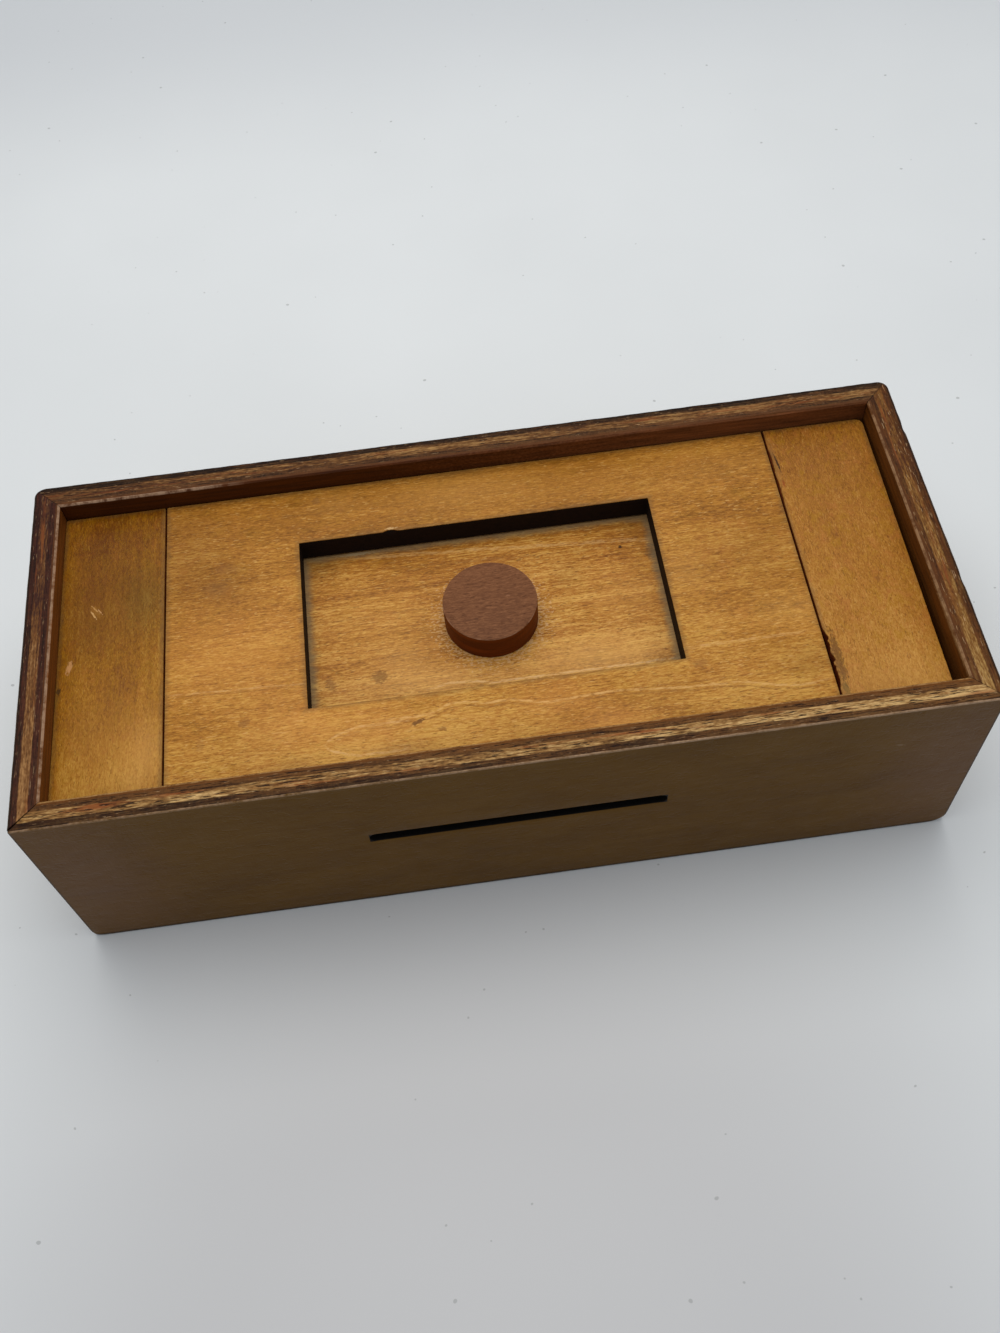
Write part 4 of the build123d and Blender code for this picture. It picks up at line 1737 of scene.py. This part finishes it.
@dataclass(frozen=True)
class Slide:
    """The panel that slides under the lid, and the knob that is pegged to it with a dowel."""

    corner: float = 2.0
    clearance: float = 0.05        # between the dowel and its holes
    knob_edge: float = 0.35

    def build_panel(self) -> None:
        """Build and dress the slide panel."""
        low, high = box_mm("slide_panel")
        dowel_low, dowel_high = box_mm("knob_dowel")
        middle = (dowel_low + dowel_high) / 2
        hole = circle_outline((middle.x, middle.y), (dowel_high.x - dowel_low.x) / 2 + self.clearance, 32)
        slab = Slab(box_outline(low, high, self.corner, 4.0), low.z, high.z, holes=(hole,), ease=0.25)
        lines = (
            GrowthLine(-17.4, 0.0, 0.45, "#E2B880", 0.85, -14, 41, bends=((-9.0, 5.0, 1.2),)),
            GrowthLine(-18.3, 0.0, 0.35, LINE_BROWN, 0.5, -28, -4, bends=((-9.0, 5.0, 1.2),)),
            GrowthLine(18.6, -0.08, 0.7, "#D8AA6C", 0.55, -28, 41, wander=0.7),
            GrowthLine(15.6, -0.05, 0.4, "#8A5C2C", 0.35, -20, 30, wander=0.7),
            GrowthLine(4.5, 0.02, 0.4, "#8A5A28", 0.5, -36, -12, wander=0.7),
        )
        marks = (
            Mark(32.0, 14.2, 0.9, 0.9, "#2E1A0C", 0.9),
            Mark(-25.3, -12.3, 4.2, 3.4, "#6E4620", 0.55),
            Mark(-36.1, -12.6, 2.0, 4.5, "#7C5228", 0.5, 20),
            Mark(38.5, 11.6, 2.6, 4.0, "#5C4024", 0.5),
            Mark(-28.0, 21.9, 8.0, 0.8, "#C4A478", 0.8),
            # a pale ring round the knob's foot: stain rubbed thin there, and painted light against the
            # knob's shade
            Mark(middle.x, middle.y, 25.6, 25.6, "#D8B080", 0.5, soft=0.03),
        )
        clouds = (
            # painted light and shade: the panel lighter towards the front, darker at the back under the
            # lid's rim
            Cloud(-21.0, -2.0, 32.0, 34.0, "#E8B060", 0.16),
            Cloud(-20.0, -9.0, 12.0, 9.0, "#FFC878", 0.1),
            Cloud(-14.0, -15.0, 36.0, 8.0, "#FFC878", 0.22),
            Cloud(28.0, 18.0, 12.0, 8.0, TOBACCO, 0.1),
            Cloud(19.0, 9.0, 8.0, 10.0, TOBACCO, 0.16),
            Cloud(22.0, -14.0, 36.0, 11.0, "#F0B868", 0.42),
            Cloud(31.0, 1.0, 16.0, 16.0, "#E8B060", 0.16),
            # painted shade in the window's corners
            Cloud(-37.0, 20.0, 10.0, 8.0, CORNER_SHADE, 0.45),
            Cloud(37.0, 20.0, 10.0, 8.0, CORNER_SHADE, 0.3),
            Cloud(37.0, -20.0, 10.0, 8.0, CORNER_SHADE, 0.5),
        )
        face = Veneer(
            dark="#774212", middle="#AE7127", light="#D8A553", pore="#6E4216", seed=97.0,
            # painted light: the face lighter towards the front
            contrast=1.25, cloud=0.8, streak=1.3, fleck_long=3.2, tone=0.52, painted_light_across=-0.003,
            pore_share=0.7, lines=lines, marks=clouds + marks, glint="#DEAC62", glint_share=0.5, curl=0.35,
            mottle_share=0.18,
        )
        finish = StainedDeckPly(
            name="slide_panel_golden_stained_ply",
            lie=Lie(0, 1, 2, high.z, -1.0),
            thickness=high.z - low.z,
            face=face,
            middle=Deck.window_middle,
            half=Deck.window_half,
            # dust, and painted contact shadow, along the window's edges on the slide panel
            grime="#7E7156",
            grime_and_shade_share=0.65,
            grime_and_shade_reach=2.2,
            grime_and_shade_beyond=0.4,
        )
        add_piece(slab.build(), "slide_panel", "slide", finish.make())

    def build_knob(self) -> None:
        """Build and dress the knob and its dowel."""
        low, high = box_mm("knob")
        dowel_low, dowel_high = box_mm("knob_dowel")
        middle = (low + high) / 2
        radius, dowel_radius = (high.x - low.x) / 2, (dowel_high.x - dowel_low.x) / 2
        knob = Slab(
            circle_outline((middle.x, middle.y), radius, 160), low.z, high.z, ease=self.knob_edge, rows=8,
            wear=lambda place, height: 0.02 + 0.02 * waver(place.x * 3 + place.y, 3.0, height),
        )
        specks = (Mark(-3.0, -5.2, 1.2, 0.6, "#4A2814", 0.6), Mark(4.6, -0.2, 1.0, 0.5, "#96684A", 0.5))
        face = Veneer(
            dark="#522C16", middle="#704528", light="#8D5D3B", pore="#482612", seed=103.0,
            contrast=1.05, cloud=0.4, streak=0.4, fleck_long=2.0, fleck_wide=0.45, marks=specks,
        )
        finish = StainedDisc("knob_red_brown_stained_disc", Lie(0, 1, 2, high.z, -1.0), face)
        add_piece(knob.build(), "knob", "slide", finish.make())

        dowel = Slab(
            circle_outline((middle.x, middle.y), dowel_radius, 32), dowel_low.z, dowel_high.z,
            ease=0.3, ease_below=0.3,
        )
        beech = Veneer("#A87C54", "#C49A6E", "#D8B48C", "#8A5C38", 107.0, fleck_long=6.0, pore_share=0.3)
        grain = BareWood("knob_dowel_turned_beech", Lie(2, 0, 1, middle.y, -1.0), beech)
        add_piece(dowel.build(), "knob_dowel", "slide", grain.make())


# ---------------------------------------------------------------- the studio

@dataclass(frozen=True)
class SoftLamp:
    """A soft box that hangs in the studio and points at the middle of the table: metres and watts."""

    name: str
    place: tuple[float, float, float]
    size: Point
    power: float
    colour: str = "#FFFBF4"


@dataclass(frozen=True)
class Studio:
    """The pale table, the soft light from behind and above, and the camera, in metres and degrees."""

    camera_place: tuple[float, float, float] = (-0.006223, -0.166910, 0.286597)
    camera_turn: tuple[float, float, float] = (32.26993, 2.87031, -7.14891)
    lens: float = 35.64
    sensor: float = 36.0
    table_size: float = 12.0
    table_drop: float = 0.0002
    air_colour: str = "#F2F6FC"
    air_strength: float = 0.5
    backdrop: str = "#E2E5E8"
    lamps: tuple[SoftLamp, ...] = (
        SoftLamp("overhead_lamp", (-0.015, 0.095, 0.55), (0.45, 0.45), 1.6),
        SoftLamp("back_lamp", (0.1, 1.1, 0.8), (1.4, 0.6), 2.0),
    )

    def build_table(self) -> None:
        """Lay the table top just below the box."""
        bm = bmesh.new()
        bmesh.ops.create_grid(bm, x_segments=8, y_segments=8, size=self.table_size / 2)
        bmesh.ops.translate(bm, vec=(0, 0, -self.table_drop), verts=bm.verts)
        mesh = bpy.data.meshes.new("table_top")
        bm.to_mesh(mesh)
        bm.free()
        mesh.materials.append(PaintedTable().make())
        table = bpy.data.objects.new("table_top", mesh)
        bpy.context.scene.collection.objects.link(table)
        log.info("table_top: staged")

    def build_light(self) -> None:
        """Hang the soft lamps and fill the air with even light."""
        for lamp in self.lamps:
            data = bpy.data.lights.new(lamp.name, "AREA")
            data.shape = "RECTANGLE"
            data.size, data.size_y = lamp.size
            data.energy = lamp.power
            data.color = linear(lamp.colour)[:3]
            hung = bpy.data.objects.new(lamp.name, data)
            hung.location = lamp.place
            hung.rotation_euler = (-Vector(lamp.place)).to_track_quat("-Z", "Y").to_euler()
            bpy.context.scene.collection.objects.link(hung)

        world = bpy.data.worlds.new("even_air")
        world.use_nodes = True
        bpy.context.scene.world = world
        graph = Graph(world.node_tree)
        seen = graph.add("ShaderNodeLightPath")
        air = graph.add("ShaderNodeBackground", {0: self.air_colour, 1: self.air_strength})
        backdrop = graph.add("ShaderNodeBackground", {0: self.backdrop, 1: 1.0})
        both = graph.add("ShaderNodeMixShader", {0: seen, 1: air, 2: backdrop})
        graph.add("ShaderNodeOutputWorld", {"Surface": both})

    def build_camera(self) -> None:
        """Set the camera where the box is looked at from."""
        data = bpy.data.cameras.new("camera")
        data.lens = self.lens
        data.sensor_width = self.sensor
        data.clip_start = 0.01
        camera = bpy.data.objects.new("camera", data)
        camera.location = self.camera_place
        camera.rotation_euler = Euler([math.radians(turn) for turn in self.camera_turn], "XYZ")
        bpy.context.scene.collection.objects.link(camera)
        bpy.context.scene.camera = camera
        bpy.context.scene.view_settings.view_transform = "Standard"


def main() -> None:
    """Build the box and its studio, piece by piece."""
    logging.basicConfig(level=logging.INFO, format="%(name)s: %(message)s")
    studio = Studio()
    studio.build_camera()
    studio.build_light()
    studio.build_table()
    carcass = Carcass(cad_high.x / MM, cad_high.y / MM, cad_high.z / MM)
    carcass.build_walls()
    carcass.build_inside()
    deck = Deck()
    deck.build_left_strip()
    deck.build_lid()
    deck.build_key_strip()
    slide = Slide()
    slide.build_panel()
    slide.build_knob()


if __name__ == "__main__":
    main()
